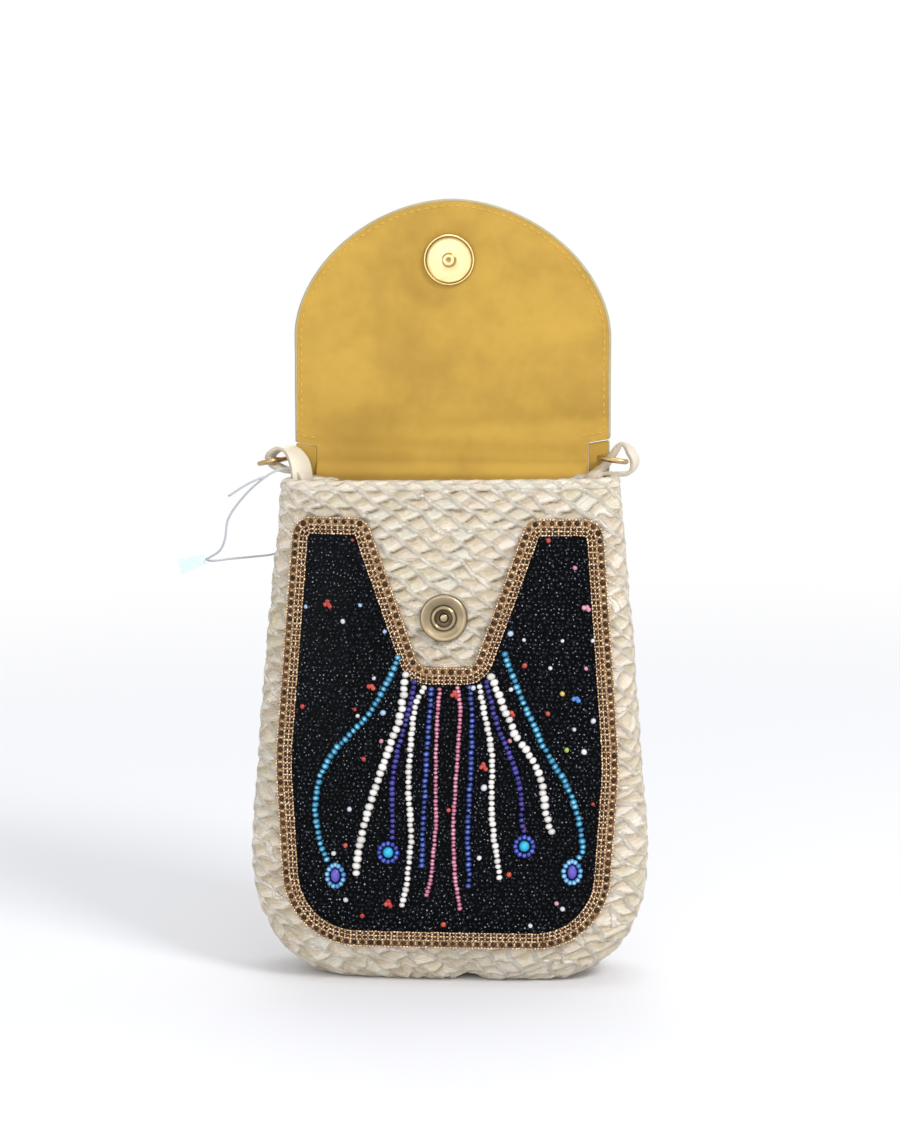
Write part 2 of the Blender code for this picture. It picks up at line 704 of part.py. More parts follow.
def build_strand(side, order, kind, low):
    """A strand of beads in one solid, and the rosette at its end where it has one."""
    name, material, bead, end_x, end_z, curl = kind
    side_name = "left" if side < 0 else "right"
    length = (strand_path(order, end_x, end_z, curl, 2)[0] - Vector((end_x, end_z))).length
    beads = max(3, round(length / bead))
    path = strand_path(order, end_x, end_z, curl, 2 * beads + 1)
    rings = []
    for number, point in enumerate(path):
        after = path[min(number + 1, len(path) - 1)]
        before = path[max(number - 1, 0)]
        along = (after - before).normalized()
        across = Vector((-along.y, along.x))
        swell = 1.0 if number % 2 else 0.6
        half = bead * 0.42 * swell
        ring = []
        for shift, up in ((-half, 0.0), (0.0, STRAND_HEIGHT * swell), (half, 0.0)):
            spot = point + across * shift
            ring.append((side * spot.x, front_y(spot.x, spot.y) - low - up, spot.y))
        rings.append(ring)
    points, faces = loft(rings)
    add_solid(f"strand_{name}_{side_name}", points, faces, material)
    if name in ("violet", "turquoise"):
        build_rosette(side, side_name, name, path[-1], low)


def build_rosette(side, side_name, strand, end, low):
    """A ring of beads round a cabochon, hung at the end of a strand."""
    outer = ROSETTE_DIAMETER / 2
    inner = CABOCHON_DIAMETER / 2 + GAP
    height = end.y - outer - GAP
    x = side * end.x
    middle = -front_y(x, height)
    across = math.atan2(front_y(x - outer, height) - front_y(x + outer, height), 2 * outer)
    lean = math.atan2(front_y(x, height + outer) - front_y(x, height - outer), 2 * outer)
    place = (Matrix.Translation((x, -(middle + low) - GAP, height))
             @ Matrix.Rotation(-across, 4, "Z") @ Matrix.Rotation(math.radians(90) - lean, 4, "X"))
    rings = []
    for step in range(2 * ROSETTE_BEADS):
        angle = math.tau * step / (2 * ROSETTE_BEADS)
        swell = 1.0 if step % 2 else 0.8
        band = (outer - inner) * swell
        ring = []
        for share, up in ((0, 0), (1, 0), (0.8, 1), (0.2, 1)):
            radius = inner + band * share
            ring.append((radius * math.cos(angle), radius * math.sin(angle),
                         ROSETTE_HEIGHT * up * swell))
        rings.append(ring)
    points, faces = loft(rings, closed=True)
    add_solid(f"rosette_{strand}_{side_name}", points, faces, "violet_beads", place)
    dome = CABOCHON_DIAMETER / 2
    profile = [(0, 0), (dome, 0), (dome, ROSETTE_HEIGHT * 0.6),
               (dome * 0.7, ROSETTE_HEIGHT * 1.1), (0, ROSETTE_HEIGHT * 1.3)]
    turned(f"cabochon_{strand}_{side_name}", profile, "cabochon", place, SMALL_ROUND_STEPS)


def build_strands():
    """Six strands on each side of the middle, mirrored."""
    low = PANEL_SEAT + PANEL_BACKING + GAP + PANEL_FIELD + GAP
    for side in (-1, 1):
        for order, kind in enumerate(strand_kinds()):
            build_strand(side, order, kind, low)


def smooth_path(points, count):
    """Points evenly spaced along a smooth curve through the given ones."""
    spots = [Vector(point) for point in points]
    spots = [spots[0] * 2 - spots[1]] + spots + [spots[-1] * 2 - spots[-2]]
    fine = []
    for number in range(1, len(spots) - 2):
        before, start, stop, after = spots[number - 1:number + 3]
        for step in range(16):
            share = step / 16
            fine.append(0.5 * ((2 * start) + (stop - before) * share
                               + (2 * before - 5 * start + 4 * stop - after) * share ** 2
                               + (3 * start - before - 3 * stop + after) * share ** 3))
    fine.append(spots[-2])
    run = [0.0]
    for start, stop in zip(fine, fine[1:]):
        run.append(run[-1] + (stop - start).length)
    path = []
    place = 0
    for number in range(count):
        target = run[-1] * number / (count - 1)
        while place < len(run) - 2 and run[place + 1] < target:
            place += 1
        share = (target - run[place]) / (run[place + 1] - run[place])
        path.append(fine[place].lerp(fine[place + 1], min(1.0, share)))
    return path


def tab_strip(name, route, wide_first, wide_last):
    """A leather strip along a route, its width turning from one direction to the other."""
    path = smooth_path(route, 30)
    rings = []
    for number, point in enumerate(path):
        share = number / (len(path) - 1)
        turn = math.sin(math.pi * share)
        along = (path[min(number + 1, len(path) - 1)] - path[max(number - 1, 0)]).normalized()
        wide = Vector(wide_first).lerp(Vector(wide_last), turn)
        wide = (wide - along * wide.dot(along)).normalized()
        thick = along.cross(wide)
        half = TAB_WIDTH / 2
        ply = TAB_THICKNESS / 2
        rings.append([point + wide * half * a + thick * ply * b
                      for a, b in ((-1, -1), (1, -1), (1, 1), (-1, 1))])
    points, faces = loft(rings)
    add_solid(name, points, faces, "tab_leather")


def from_mouth_end(side, offsets):
    """Points given as out from the mouth's end, back from its middle and above its rim."""
    edge = MOUTH_WIDTH / 2
    return [Vector((side * (edge + out), back, BINDING_TOP + up)) for out, back, up in offsets]


def left_tab_route():
    """The left tab: up out of the mouth, over to the left, and back into the mouth."""
    return from_mouth_end(-1, [
        (-0.0093, 0.0018, -0.0095), (-0.0092, 0.0020, -0.0010), (-0.0065, 0.0052, 0.0048),
        (-0.0021, 0.0058, 0.0080), (0.0022, 0.0060, 0.0078), (0.0048, 0.0060, 0.0056),
        (0.0032, 0.0059, 0.0031), (-0.0006, 0.0058, 0.0019), (-0.0036, 0.0055, 0.0016),
        (-0.0062, 0.0040, 0.0013), (-0.0077, 0.0022, -0.0006), (-0.0079, 0.0019, -0.0040),
        (-0.0079, 0.0018, -0.0095)])


def right_tab_route():
    """The right tab: a leaf up out of the mouth to a tip, and back down round its right."""
    return from_mouth_end(1, [
        (-0.0093, 0.0018, -0.0095), (-0.0092, 0.0020, -0.0010), (-0.0069, 0.0042, 0.0021),
        (-0.0043, 0.0048, 0.0040), (-0.0022, 0.0056, 0.0068), (-0.0004, 0.0060, 0.0102),
        (0.0016, 0.0062, 0.0122), (0.0040, 0.0062, 0.0092), (0.0050, 0.0061, 0.0055),
        (0.0032, 0.0060, 0.0027), (-0.0006, 0.0057, 0.0018), (-0.0036, 0.0051, 0.0015),
        (-0.0062, 0.0038, 0.0013), (-0.0077, 0.0022, -0.0006), (-0.0079, 0.0019, -0.0044),
        (-0.0079, 0.0018, -0.0095)])


def ring_axis(side):
    """The direction of a D-ring's straight bar."""
    return Vector((-side * 0.40, 0.90, 0.0)).normalized()


def ring_place(side):
    """Where a D-ring's bar sits: own Y along the bar, own X towards the ring's bow."""
    bar = ring_axis(side)
    level = bar.cross(Vector((0, 0, 1))) * -1
    if side < 0:
        centre = from_mouth_end(side, [(0.0022, 0.0059, 0.0051)])[0]
        droop = LEFT_RING_DROOP
    else:
        centre = from_mouth_end(side, [(0.0015, 0.0067, 0.0056)])[0]
        droop = RIGHT_RING_DROOP
    out = level * math.cos(droop) - Vector((0, 0, 1)) * math.sin(droop)
    frame = Matrix((out, bar, out.cross(bar))).transposed().to_4x4()
    return Matrix.Translation(centre) @ frame


def build_ring(name, side):
    """A D-ring of round wire: a straight bar and a bow that springs from its ends."""
    half = TAB_WIDTH / 2 + RING_SIDE_CLEARANCE + RING_WIRE / 2
    corner = RING_WIRE * 0.9
    route = [Vector((0, -half + corner, 0)), Vector((0, half - corner, 0))]
    bend = 3
    for step in range(1, bend + 1):
        angle = math.radians(90) * step / bend
        route.append(Vector((corner - corner * math.cos(angle),
                             half - corner + corner * math.sin(angle), 0)))
    bow = 9
    for step in range(1, bow):
        angle = math.pi * step / bow
        route.append(Vector((corner + (RING_REACH - corner) * math.sin(angle),
                             half * math.cos(angle), 0)))
    for step in range(bend):
        angle = math.radians(90) * (1 - step / bend)
        route.append(Vector((corner - corner * math.cos(angle),
                             -half + corner - corner * math.sin(angle), 0)))
    count = len(route)
    sides = 8
    rings = []
    for number, point in enumerate(route):
        along = (route[(number + 1) % count] - route[number - 1]).normalized()
        aside = along.cross(Vector((0, 0, 1)))
        ring = []
        for step in range(sides):
            angle = math.tau * step / sides
            ring.append(point + (aside * math.cos(angle) + Vector((0, 0, math.sin(angle))))
                        * RING_WIRE / 2)
        rings.append(ring)
    points, faces = loft(rings, closed=True)
    add_solid(name, points, faces, "gold_metal", ring_place(side), smooth=True)


def thread_route():
    """The tag's thread: from the left tab down to the tag, and back up behind the bag."""
    return from_mouth_end(-1, [
        (-0.0006, 0.0016, 0.0019), (0.0008, -0.0010, 0.0023), (0.0041, -0.0033, 0.0013),
        (0.0084, -0.0032, -0.0017), (0.0133, -0.0016, -0.0061), (0.0182, -0.0005, -0.0119),
        (0.0210, 0.0000, -0.0169), (0.0219, 0.0000, -0.0231), (0.0238, 0.0002, -0.0275),
        (0.0278, 0.0012, -0.0303), (0.0293, 0.0030, -0.0313), (0.0273, 0.0054, -0.0321),
        (0.0214, 0.0090, -0.0318), (0.0134, 0.0135, -0.0315), (0.0064, 0.0170, -0.0309),
        (0.0004, 0.0185, -0.0280), (-0.0036, 0.0185, -0.0205), (-0.0052, 0.0178, -0.0115),
        (-0.0052, 0.0162, -0.0035), (-0.0053, 0.0135, 0.0018), (-0.0061, 0.0103, 0.0023),
        (-0.0071, 0.0080, 0.0017)])


def build_tag():
    """The blank swing tag and its looped thread."""
    curve = bpy.data.curves.new("tag_thread", "CURVE")
    curve.dimensions = "3D"
    curve.bevel_depth = THREAD_DIAMETER / 2
    curve.bevel_resolution = 2
    curve.use_fill_caps = True
    path = smooth_path(thread_route(), THREAD_POINTS)
    spline = curve.splines.new("POLY")
    spline.points.add(len(path) - 1)
    for spot, point in zip(spline.points, path):
        spot.co = (*point, 1.0)
    thread = bpy.data.objects.new("tag_thread", curve)
    curve.materials.append(finish("thread"))
    bpy.context.scene.collection.objects.link(thread)
    length, width, thick = TAG_LENGTH / 2, TAG_WIDTH / 2, TAG_THICKNESS / 2
    corner = width * 0.35
    outline = [(-length, -width), (length - corner, -width), (length, -width + corner),
               (length, width - corner), (length - corner, width), (-length, width)]
    rings = [[(x, y, z) for x, z in outline] for y in (-thick, thick)]
    points, faces = loft(rings)
    tilt = math.radians(18)
    centre = from_mouth_end(-1, [(TAG_OUT, 0.0028, -TAG_DROP)])[0]
    place = Matrix.Translation(centre) @ Matrix.Rotation(-tilt, 4, "Y")
    add_solid("swing_tag", points, faces, "tag_card", place)


def main():
    """Build the bag."""
    clear_scene()
    build_straw_body()
    build_lining()
    build_binding()
    build_flap()
    build_flap_snap()
    build_body_snap()
    build_panel()
    build_strands()
    tab_strip("left_tab", left_tab_route(), (0.55, 0.83, 0.0), (0.40, 0.90, 0.05))
    tab_strip("right_tab", right_tab_route(), (-0.55, 0.83, 0.0), (-0.40, 0.90, 0.05))
    build_ring("left_d_ring", -1)
    build_ring("right_d_ring", 1)
    build_tag()


main()
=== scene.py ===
"""Looks of a crossbody phone bag of plaited straw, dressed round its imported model.

The bag stands with its flap up, beads on the front and cloth inside. Metres, +Z up.
"""

import logging
import math
from contextlib import contextmanager
from dataclasses import dataclass
from enum import Enum
from functools import cache
from typing import Callable, Iterable, Iterator, Sequence

import bpy
import numpy as np
from mathutils import Matrix, Vector


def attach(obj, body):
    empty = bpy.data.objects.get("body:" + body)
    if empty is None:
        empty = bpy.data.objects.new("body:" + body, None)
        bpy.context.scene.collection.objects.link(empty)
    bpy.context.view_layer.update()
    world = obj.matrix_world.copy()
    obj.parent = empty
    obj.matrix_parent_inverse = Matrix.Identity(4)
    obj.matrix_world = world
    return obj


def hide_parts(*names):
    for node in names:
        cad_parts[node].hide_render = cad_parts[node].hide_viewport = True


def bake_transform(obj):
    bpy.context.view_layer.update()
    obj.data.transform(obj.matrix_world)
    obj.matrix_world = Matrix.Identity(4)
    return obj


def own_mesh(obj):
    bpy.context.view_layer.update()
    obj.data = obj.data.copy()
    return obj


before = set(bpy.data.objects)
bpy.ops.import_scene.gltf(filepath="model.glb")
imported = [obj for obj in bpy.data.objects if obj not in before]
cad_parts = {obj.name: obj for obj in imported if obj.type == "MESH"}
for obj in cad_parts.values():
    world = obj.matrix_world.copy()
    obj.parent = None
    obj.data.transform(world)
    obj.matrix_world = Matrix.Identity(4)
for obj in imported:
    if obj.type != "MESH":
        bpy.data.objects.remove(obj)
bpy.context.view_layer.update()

log = logging.getLogger("bag")
logging.basicConfig(level=logging.INFO, format="%(message)s")

Colour = tuple[float, float, float]
Point = tuple[float, float, float]
Numbers = dict[str, np.ndarray]
BODY = "bag"
# The braid's numbers that the straw's finish reads, among them the painted shadow in its slits.
STRAW_NUMBERS = ("ridge", "slit", "tint", "fibre")
MERGE_DISTANCE = 0.000002


class Side(Enum):
    """The two sides of the bag, as its front is looked at."""

    LEFT = -1
    RIGHT = 1


# ---------------------------------------------------------------- shader maths


class Wire:
    """A shader socket that Python arithmetic can be done with."""

    def __init__(self, net: "Net", socket: bpy.types.NodeSocket) -> None:
        """Keep the socket and the material that it is in."""
        self.net = net
        self.socket = socket

    def _math(self, operation: str, first: object, second: object = 0.0) -> "Wire":
        """Add one Math node."""
        return self.net.node("ShaderNodeMath", {"operation": operation}, {0: first, 1: second})

    def __add__(self, other: object) -> "Wire":
        """Return the sum."""
        return self._math("ADD", self, other)

    __radd__ = __add__

    def __sub__(self, other: object) -> "Wire":
        """Return the difference."""
        return self._math("SUBTRACT", self, other)

    def __rsub__(self, other: object) -> "Wire":
        """Return the difference the other way round."""
        return self._math("SUBTRACT", other, self)

    def __mul__(self, other: object) -> "Wire":
        """Return the product."""
        return self._math("MULTIPLY", self, other)

    __rmul__ = __mul__

    def clamped(self) -> "Wire":
        """Return the value held between 0 and 1."""
        return self.net.node("ShaderNodeClamp", {}, {0: self})

    def step(self, low: float, high: float) -> "Wire":
        """Return 0 below low, 1 above high and a smooth rise between."""
        return self.net.node("ShaderNodeMapRange", {"interpolation_type": "SMOOTHSTEP"},
                             {0: self, 1: low, 2: high, 3: 0.0, 4: 1.0})


class Net:
    """One material's node tree and the nodes that the finishes are made of."""

    def __init__(self, name: str, world: bool = False) -> None:
        """Start a material with its Principled shader, or a world with its Background."""
        self.material = (bpy.data.worlds if world else bpy.data.materials).new(name)
        self.material.use_nodes = True
        self.tree = self.material.node_tree
        self.shader = self.tree.nodes["Background" if world else "Principled BSDF"]

    def node(self, kind: str, settings: dict[str, object] | None = None,
             inputs: dict[int | str, object] | None = None, output: int | str = 0) -> Wire:
        """Add any node.

        Args:
            kind: The node's type.
            settings: Its own settings, set first.
            inputs: Values or wires by the socket's place or name.
            output: The socket that is returned.

        Returns:
            The output as a wire.
        """
        made = self.tree.nodes.new(kind)
        for name, value in (settings or {}).items():
            setattr(made, name, value)
        for key, value in (inputs or {}).items():
            self.plug(made.inputs[key], value)
        return Wire(self, made.outputs[output])

    def plug(self, socket: bpy.types.NodeSocket, value: object) -> None:
        """Link a wire to a socket, or set the socket's own value, a colour as opaque."""
        if isinstance(value, Wire):
            self.tree.links.new(value.socket, socket)
        else:
            socket.default_value = (*value, 1.0) if socket.type == "RGBA" else value

    def place(self) -> Wire:
        """Return the place on the piece, in metres."""
        return self.node("ShaderNodeTexCoord", output="Object")

    def attribute(self, name: str) -> Wire:
        """Return a number that the mesh carries."""
        return self.node("ShaderNodeAttribute", {"attribute_name": name}, output="Fac")

    def noise(self, scale: float, detail: float = 2.0, roughness: float = 0.5,
              where: Wire | None = None) -> Wire:
        """Return noise of a scale, by default over the piece's own place."""
        return self.node("ShaderNodeTexNoise", {},
                         {"Vector": where or self.place(), "Scale": scale, "Detail": detail,
                          "Roughness": roughness})

    def mix(self, factor: object, first: object, second: object) -> Wire:
        """Mix two colours."""
        return self.node("ShaderNodeMix", {"data_type": "RGBA"},
                         {0: factor, 6: first, 7: second}, 2)

    def stretched(self, scale: Point, turn: float = 0.0) -> Wire:
        """Return the piece's place, turned about Y and stretched for a grain."""
        return self.node("ShaderNodeMapping", {}, {"Vector": self.place(),
                                                   "Rotation": (0.0, turn, 0.0), "Scale": scale})

    def bump(self, height: Wire, depth: float, strength: float = 1.0) -> None:
        """Raise the surface by a height that is worth depth metres."""
        relief = self.node("ShaderNodeBump", {}, {"Strength": strength, "Distance": depth,
                                                  "Height": height})
        self.plug(self.shader.inputs["Normal"], relief)

    def set(self, **sockets: object) -> None:
        """Set the shader's sockets, a blank in a name written as _."""
        for name, value in sockets.items():
            self.plug(self.shader.inputs[name.replace("_", " ")], value)


# ------------------------------------------------------------------- finishes


@dataclass(frozen=True)
class StrawFinish:
    """Natural straw: cream ridges with fine fibres, all uneven; painted light on the ridges,
    painted shade in the hollows and painted shadow in the slits.
    """

    name: str = "plaited_straw"
    # The ridges' colour carries painted light and the hollows' colour painted shade; the dark is
    # for the fibres and for the painted shadow in the slits.
    ridge: Colour = (0.93, 0.85, 0.72)
    hollow_shade: Colour = (0.60, 0.49, 0.33)
    olive: Colour = (0.58, 0.56, 0.36)
    rose: Colour = (0.74, 0.58, 0.46)
    white: Colour = (0.90, 0.88, 0.84)
    dark: Colour = (0.16, 0.12, 0.075)

    def build(self) -> bpy.types.Material:
        """Return the material. The mesh carries the numbers for ridges, for the painted shadow in
        the slits, for tint and for fibre.
        """
        net = Net(self.name)
        tint = net.attribute("tint")
        slit = net.attribute("slit")
        fibre = net.attribute("fibre")
        patches = net.noise(60.0, 3.0)
        # Painted light and shade: lighter on the ridges, darker in the hollows.
        colour = net.mix(net.attribute("ridge").step(0.05, 0.95), self.hollow_shade, self.ridge)
        colour = net.mix((tint * 0.9 - 0.48).clamped(), colour, self.olive)
        colour = net.mix((0.26 - tint).clamped(), colour, self.rose)
        colour = net.mix(tint.step(0.90, 0.94) * 0.4, colour, self.white)
        colour = net.mix(patches.step(0.52, 0.75) * 0.4, colour, self.white)
        lines = net.node("ShaderNodeTexNoise", {"noise_dimensions": "1D"},
                         {"W": fibre * 2600.0 + tint * 83.0, "Scale": 1.0, "Detail": 2.0})
        colour = net.mix((lines.step(0.35, 0.68) * 0.24).clamped(), colour, self.dark)
        # Painted shadow in the slits.
        colour = net.mix(slit.step(0.10, 0.90) * 0.80, colour, self.dark)
        colour = net.mix(net.noise(420.0, 4.0, 0.7).step(0.46, 0.72) * 0.42, colour, self.ridge)
        net.set(Base_Color=colour, Roughness=lines * 0.3 + 0.42)
        net.bump(lines + net.noise(700.0, 3.0, 0.6), 0.00035, 0.9)
        return net.material


@dataclass(frozen=True)
class ClothFinish:
    """Plain woven cotton: a fine weave, softly uneven colour."""

    name: str
    colour: Colour
    shade: Colour
    threads: float = 2600.0

    def build(self) -> bpy.types.Material:
        """Return the material."""
        net = Net(self.name)
        warp, weft = (net.node("ShaderNodeTexWave", {"bands_direction": axis},
                               {"Vector": net.place(), "Scale": self.threads / 2,
                                "Distortion": 0.6}, 1) for axis in ("X", "Z"))
        clouds = net.noise(26.0, 4.0, 0.6)
        mottle = net.noise(260.0, 3.0)
        colour = net.mix(clouds.step(0.36, 0.66), self.colour, self.shade)
        colour = net.mix(mottle.step(0.45, 0.8) * 0.18, colour, self.shade)
        net.set(Base_Color=colour, Roughness=mottle * 0.2 + 0.72, Sheen_Weight=0.15)
        net.bump(warp * weft + mottle * 0.6, 0.00008, 0.6)
        return net.material


@dataclass(frozen=True)
class BeadFinish:
    """Seed beads: each of its own shade, with painted shade towards the gaps and painted
    highlights on some.
    """

    name: str
    colour: Colour
    shade: Colour
    roughness: float = 0.16
    metallic: float = 0.0
    coat: float = 0.10
    gloss: float = 0.35
    # Painted shade towards the gaps, as a share of the colour, 1 for none; then the painted
    # highlights' colour and their strength on the crown.
    gap_shade: float = 0.30
    glint: Colour | None = None
    crown: float = 0.0

    def build(self) -> bpy.types.Material:
        """Return the material. The mesh carries shade, crown and, where there are any, painted
        highlights.
        """
        net = Net(self.name)
        each = net.attribute("shade")
        colour = net.mix(each, self.colour, self.shade)
        if self.gap_shade < 1.0:
            # Painted shade: darker towards each bead's edge, lighter on its crown.
            deep = tuple(value * self.gap_shade for value in self.colour)
            colour = net.mix(net.attribute("crown").step(0.10, 0.85), deep, colour)
        # Painted highlights: on a facet where the mesh carries them, and on the crown.
        if self.glint is not None:
            painted_crown_highlight = net.attribute("crown").step(0.84, 1.0) * (each + 0.25) * self.crown
            colour = net.mix((net.attribute("glint") + painted_crown_highlight).clamped(), colour, self.glint)
        net.set(Base_Color=colour, Roughness=each * 0.12 + self.roughness, Metallic=self.metallic)
        net.set(Coat_Weight=self.coat, Coat_Roughness=0.05, Specular_IOR_Level=self.gloss)
        return net.material


@dataclass(frozen=True)
class MetalFinish:
    """Plated metal with fine scratches and slightly dulled patches."""

    name: str
    colour: Colour
    worn: Colour
    dark: Colour
    roughness: float = 0.22

    def build(self) -> bpy.types.Material:
        """Return the material. A turned mesh carries patina, which darkens its recesses."""
        net = Net(self.name)
        patches = net.noise(320.0, 3.0)
        patina = net.attribute("patina")
        scratches = net.noise(700.0, 2.0, 0.6, net.stretched((1.0, 1.0, 7.0), 0.7))
        colour = net.mix(patches.step(0.45, 0.72) * 0.4, self.colour, self.worn)
        net.set(Base_Color=net.mix((patina + patches * patina).clamped(), colour, self.dark),
                Roughness=patches * 0.22 + patina * 0.15 + self.roughness, Metallic=1.0)
        net.bump(scratches, 0.00002, 0.35)
        return net.material


@dataclass(frozen=True)
class LeatherFinish:
    """Smooth thin leather with a fine grain, browned where it is cut."""

    name: str
    colour: Colour
    edge: Colour

    def build(self) -> bpy.types.Material:
        """Return the material. The mesh carries edge."""
        net = Net(self.name)
        grain = net.node("ShaderNodeTexVoronoi", {}, {"Vector": net.place(), "Scale": 1500.0})
        clouds = net.noise(140.0, 3.0)
        colour = net.mix(clouds.step(0.4, 0.7) * 0.14, self.colour, self.edge)
        colour = net.mix(net.attribute("edge").step(0.25, 1.0) * 0.4, colour, self.edge)
        net.set(Base_Color=colour, Roughness=clouds * 0.15 + 0.36)
        net.bump(grain + clouds, 0.00004, 0.4)
        return net.material


@dataclass(frozen=True)
class PlainFinish:
    """Thread or card: one colour with a little unevenness."""

    name: str
    colour: Colour
    shade: Colour
    roughness: float = 0.6
    scale: float = 900.0

    def build(self) -> bpy.types.Material:
        """Return the material."""
        net = Net(self.name)
        uneven = net.noise(self.scale, 2.0)
        net.set(Base_Color=net.mix(uneven, self.colour, self.shade),
                Roughness=uneven * 0.15 + self.roughness)
        net.bump(uneven, 0.00003, 0.4)
        return net.material


# --------------------------------------------------------------- mesh helpers


def deselect() -> None:
    """Leave edit mode and select nothing."""
    if bpy.context.object is not None and bpy.context.object.mode != "OBJECT":
        bpy.ops.object.mode_set(mode="OBJECT")
    bpy.ops.object.select_all(action="DESELECT")


def pick(piece: bpy.types.Object) -> None:
    """Select one object and make it active."""
    deselect()
    piece.select_set(True)
    bpy.context.view_layer.objects.active = piece


@contextmanager
def editing(piece: bpy.types.Object) -> Iterator[None]:
    """Edit a piece with all of it selected."""
    pick(piece)
    bpy.ops.object.mode_set(mode="EDIT")
    bpy.ops.mesh.select_all(action="SELECT")
    yield
    bpy.ops.object.mode_set(mode="OBJECT")


def modify(piece: bpy.types.Object, kind: str, **settings: object) -> None:
    """Give a piece a modifier with its settings, and apply it."""
    pick(piece)
    made = piece.modifiers.new(kind.lower(), kind)
    for name, value in settings.items():
        setattr(made, name, value)
    bpy.ops.object.modifier_apply(modifier=made.name)


def coordinates(piece: bpy.types.Object) -> np.ndarray:
    """Return a piece's points."""
    points = np.empty(len(piece.data.vertices) * 3, np.float32)
    piece.data.vertices.foreach_get("co", points)
    return points.reshape(-1, 3).astype(float)


def put(piece: bpy.types.Object, points: np.ndarray) -> None:
    """Move a piece's points."""
    piece.data.vertices.foreach_set("co", points.astype(np.float32).ravel())
    piece.data.update()


def carry(piece: bpy.types.Object, name: str, values: np.ndarray) -> None:
    """Give each point of a piece a number that its material reads."""
    made = piece.data.attributes.new(name, "FLOAT", "POINT")
    made.data.foreach_set("value", values.astype(np.float32).ravel())


def skin(name: str, columns: int, rows: int,
         shape: Callable[[np.ndarray, np.ndarray], np.ndarray], merged: bool = False,
         outwards: bool = False,
         carried: Callable[[np.ndarray, np.ndarray], Numbers] | None = None) -> bpy.types.Object:
    """Lay a grid and shape it by a rule.

    Args:
        name: The piece's name.
        columns: Steps along the grid's first direction.
        rows: Steps along its second.
        shape: Gives the points for both shares, each 0 to 1.
        merged: Whether edges that meet are joined, as on a tube.
        outwards: Whether the faces of a closed form are turned out.
        carried: Gives numbers for the points by name.

    Returns:
        The piece, smooth, its place in its mesh.
    """
    deselect()
    bpy.ops.mesh.primitive_grid_add(x_subdivisions=columns, y_subdivisions=rows, size=1.0)
    piece = bpy.context.object
    piece.name = name
    piece.data.name = name
    flat = coordinates(piece)
    along = np.clip(flat[:, 0] + 0.5, 0.0, 1.0)
    up = np.clip(flat[:, 1] + 0.5, 0.0, 1.0)
    put(piece, shape(along, up))
    for key, values in (carried(along, up) if carried else {}).items():
        carry(piece, key, values)
    if merged:
        with editing(piece):
            bpy.ops.mesh.remove_doubles(threshold=MERGE_DISTANCE)
            if outwards:
                bpy.ops.mesh.normals_make_consistent(inside=False)
    bpy.ops.object.shade_smooth()
    return piece


def flip(piece: bpy.types.Object) -> None:
    """Turn a piece's faces to the other side."""
    with editing(piece):
        bpy.ops.mesh.flip_normals()


def unit(vectors: np.ndarray) -> np.ndarray:
    """Return vectors drawn out to a length of 1."""
    return vectors / np.maximum(np.linalg.norm(vectors, axis=1), 1e-12)[:, None]


def across_to(vectors: np.ndarray, along: np.ndarray) -> np.ndarray:
    """Return vectors turned square to their directions, with a length of 1."""
    return unit(vectors - along * (vectors * along).sum(1)[:, None])


def round_chords(line: np.ndarray) -> np.ndarray:
    """Return the chord from before to after each point of a closed line."""
    return np.roll(line, -1, 0) - np.roll(line, 1, 0)


def run_along(line: np.ndarray) -> np.ndarray:
    """Return how far along a line each of its points is."""
    return np.concatenate([[0], np.cumsum(np.linalg.norm(np.diff(line, axis=0), axis=1))])


def frames_along(path: np.ndarray, closed: bool) -> tuple[np.ndarray, np.ndarray, np.ndarray]:
    """Return each point's direction, side and up along a path, for a path that isn't straight."""
    along = unit(round_chords(path) if closed else np.gradient(path, axis=0))
    side = np.zeros_like(along)
    start = np.cross(along[0], (0.31, 0.17, 0.93))
    side[0] = start / np.linalg.norm(start)
    for number in range(1, len(path)):
        moved = side[number - 1] - along[number] * (side[number - 1] @ along[number])
        side[number] = moved / np.linalg.norm(moved)
    return along, side, np.cross(along, side)


def tube(name: str, path: np.ndarray, radius: float, sides: int = 8, closed: bool = False,
         ups: np.ndarray | None = None, flat: float = 1.0) -> bpy.types.Object:
    """Draw a round wire along a path.

    Args:
        name: The piece's name.
        path: The points that it follows.
        radius: Half its thickness.
        sides: How many faces it has round.
        closed: Whether its end meets its start.
        ups: The direction that counts as up at each point, for a flattened wire.
        flat: How high it is for its width.

    Returns:
        The piece.
    """
    along, side, up = frames_along(path, closed)
    if ups is not None:
        up = across_to(ups, along)
        side = np.cross(up, along)
    if closed:
        path, side, up = (np.vstack([array, array[:1]]) for array in (path, side, up))
    rows = len(path) - 1 + (0 if closed else 2)

    def shape(share: np.ndarray, run: np.ndarray) -> np.ndarray:
        """Return the tube's points, its ends drawn to a point."""
        ring = np.rint(run * rows).astype(int)
        reach = np.ones(len(run))
        if not closed:
            reach = np.where((ring == 0) | (ring == rows), 0.0, 1.0)
            ring = np.clip(ring - 1, 0, len(path) - 1)
        angle = share * math.tau
        return (path[ring] + side[ring] * (np.cos(angle) * radius * reach)[:, None]
                + up[ring] * (np.sin(angle) * radius * flat * reach)[:, None])

    return skin(name, sides, rows, shape, merged=True, outwards=True)


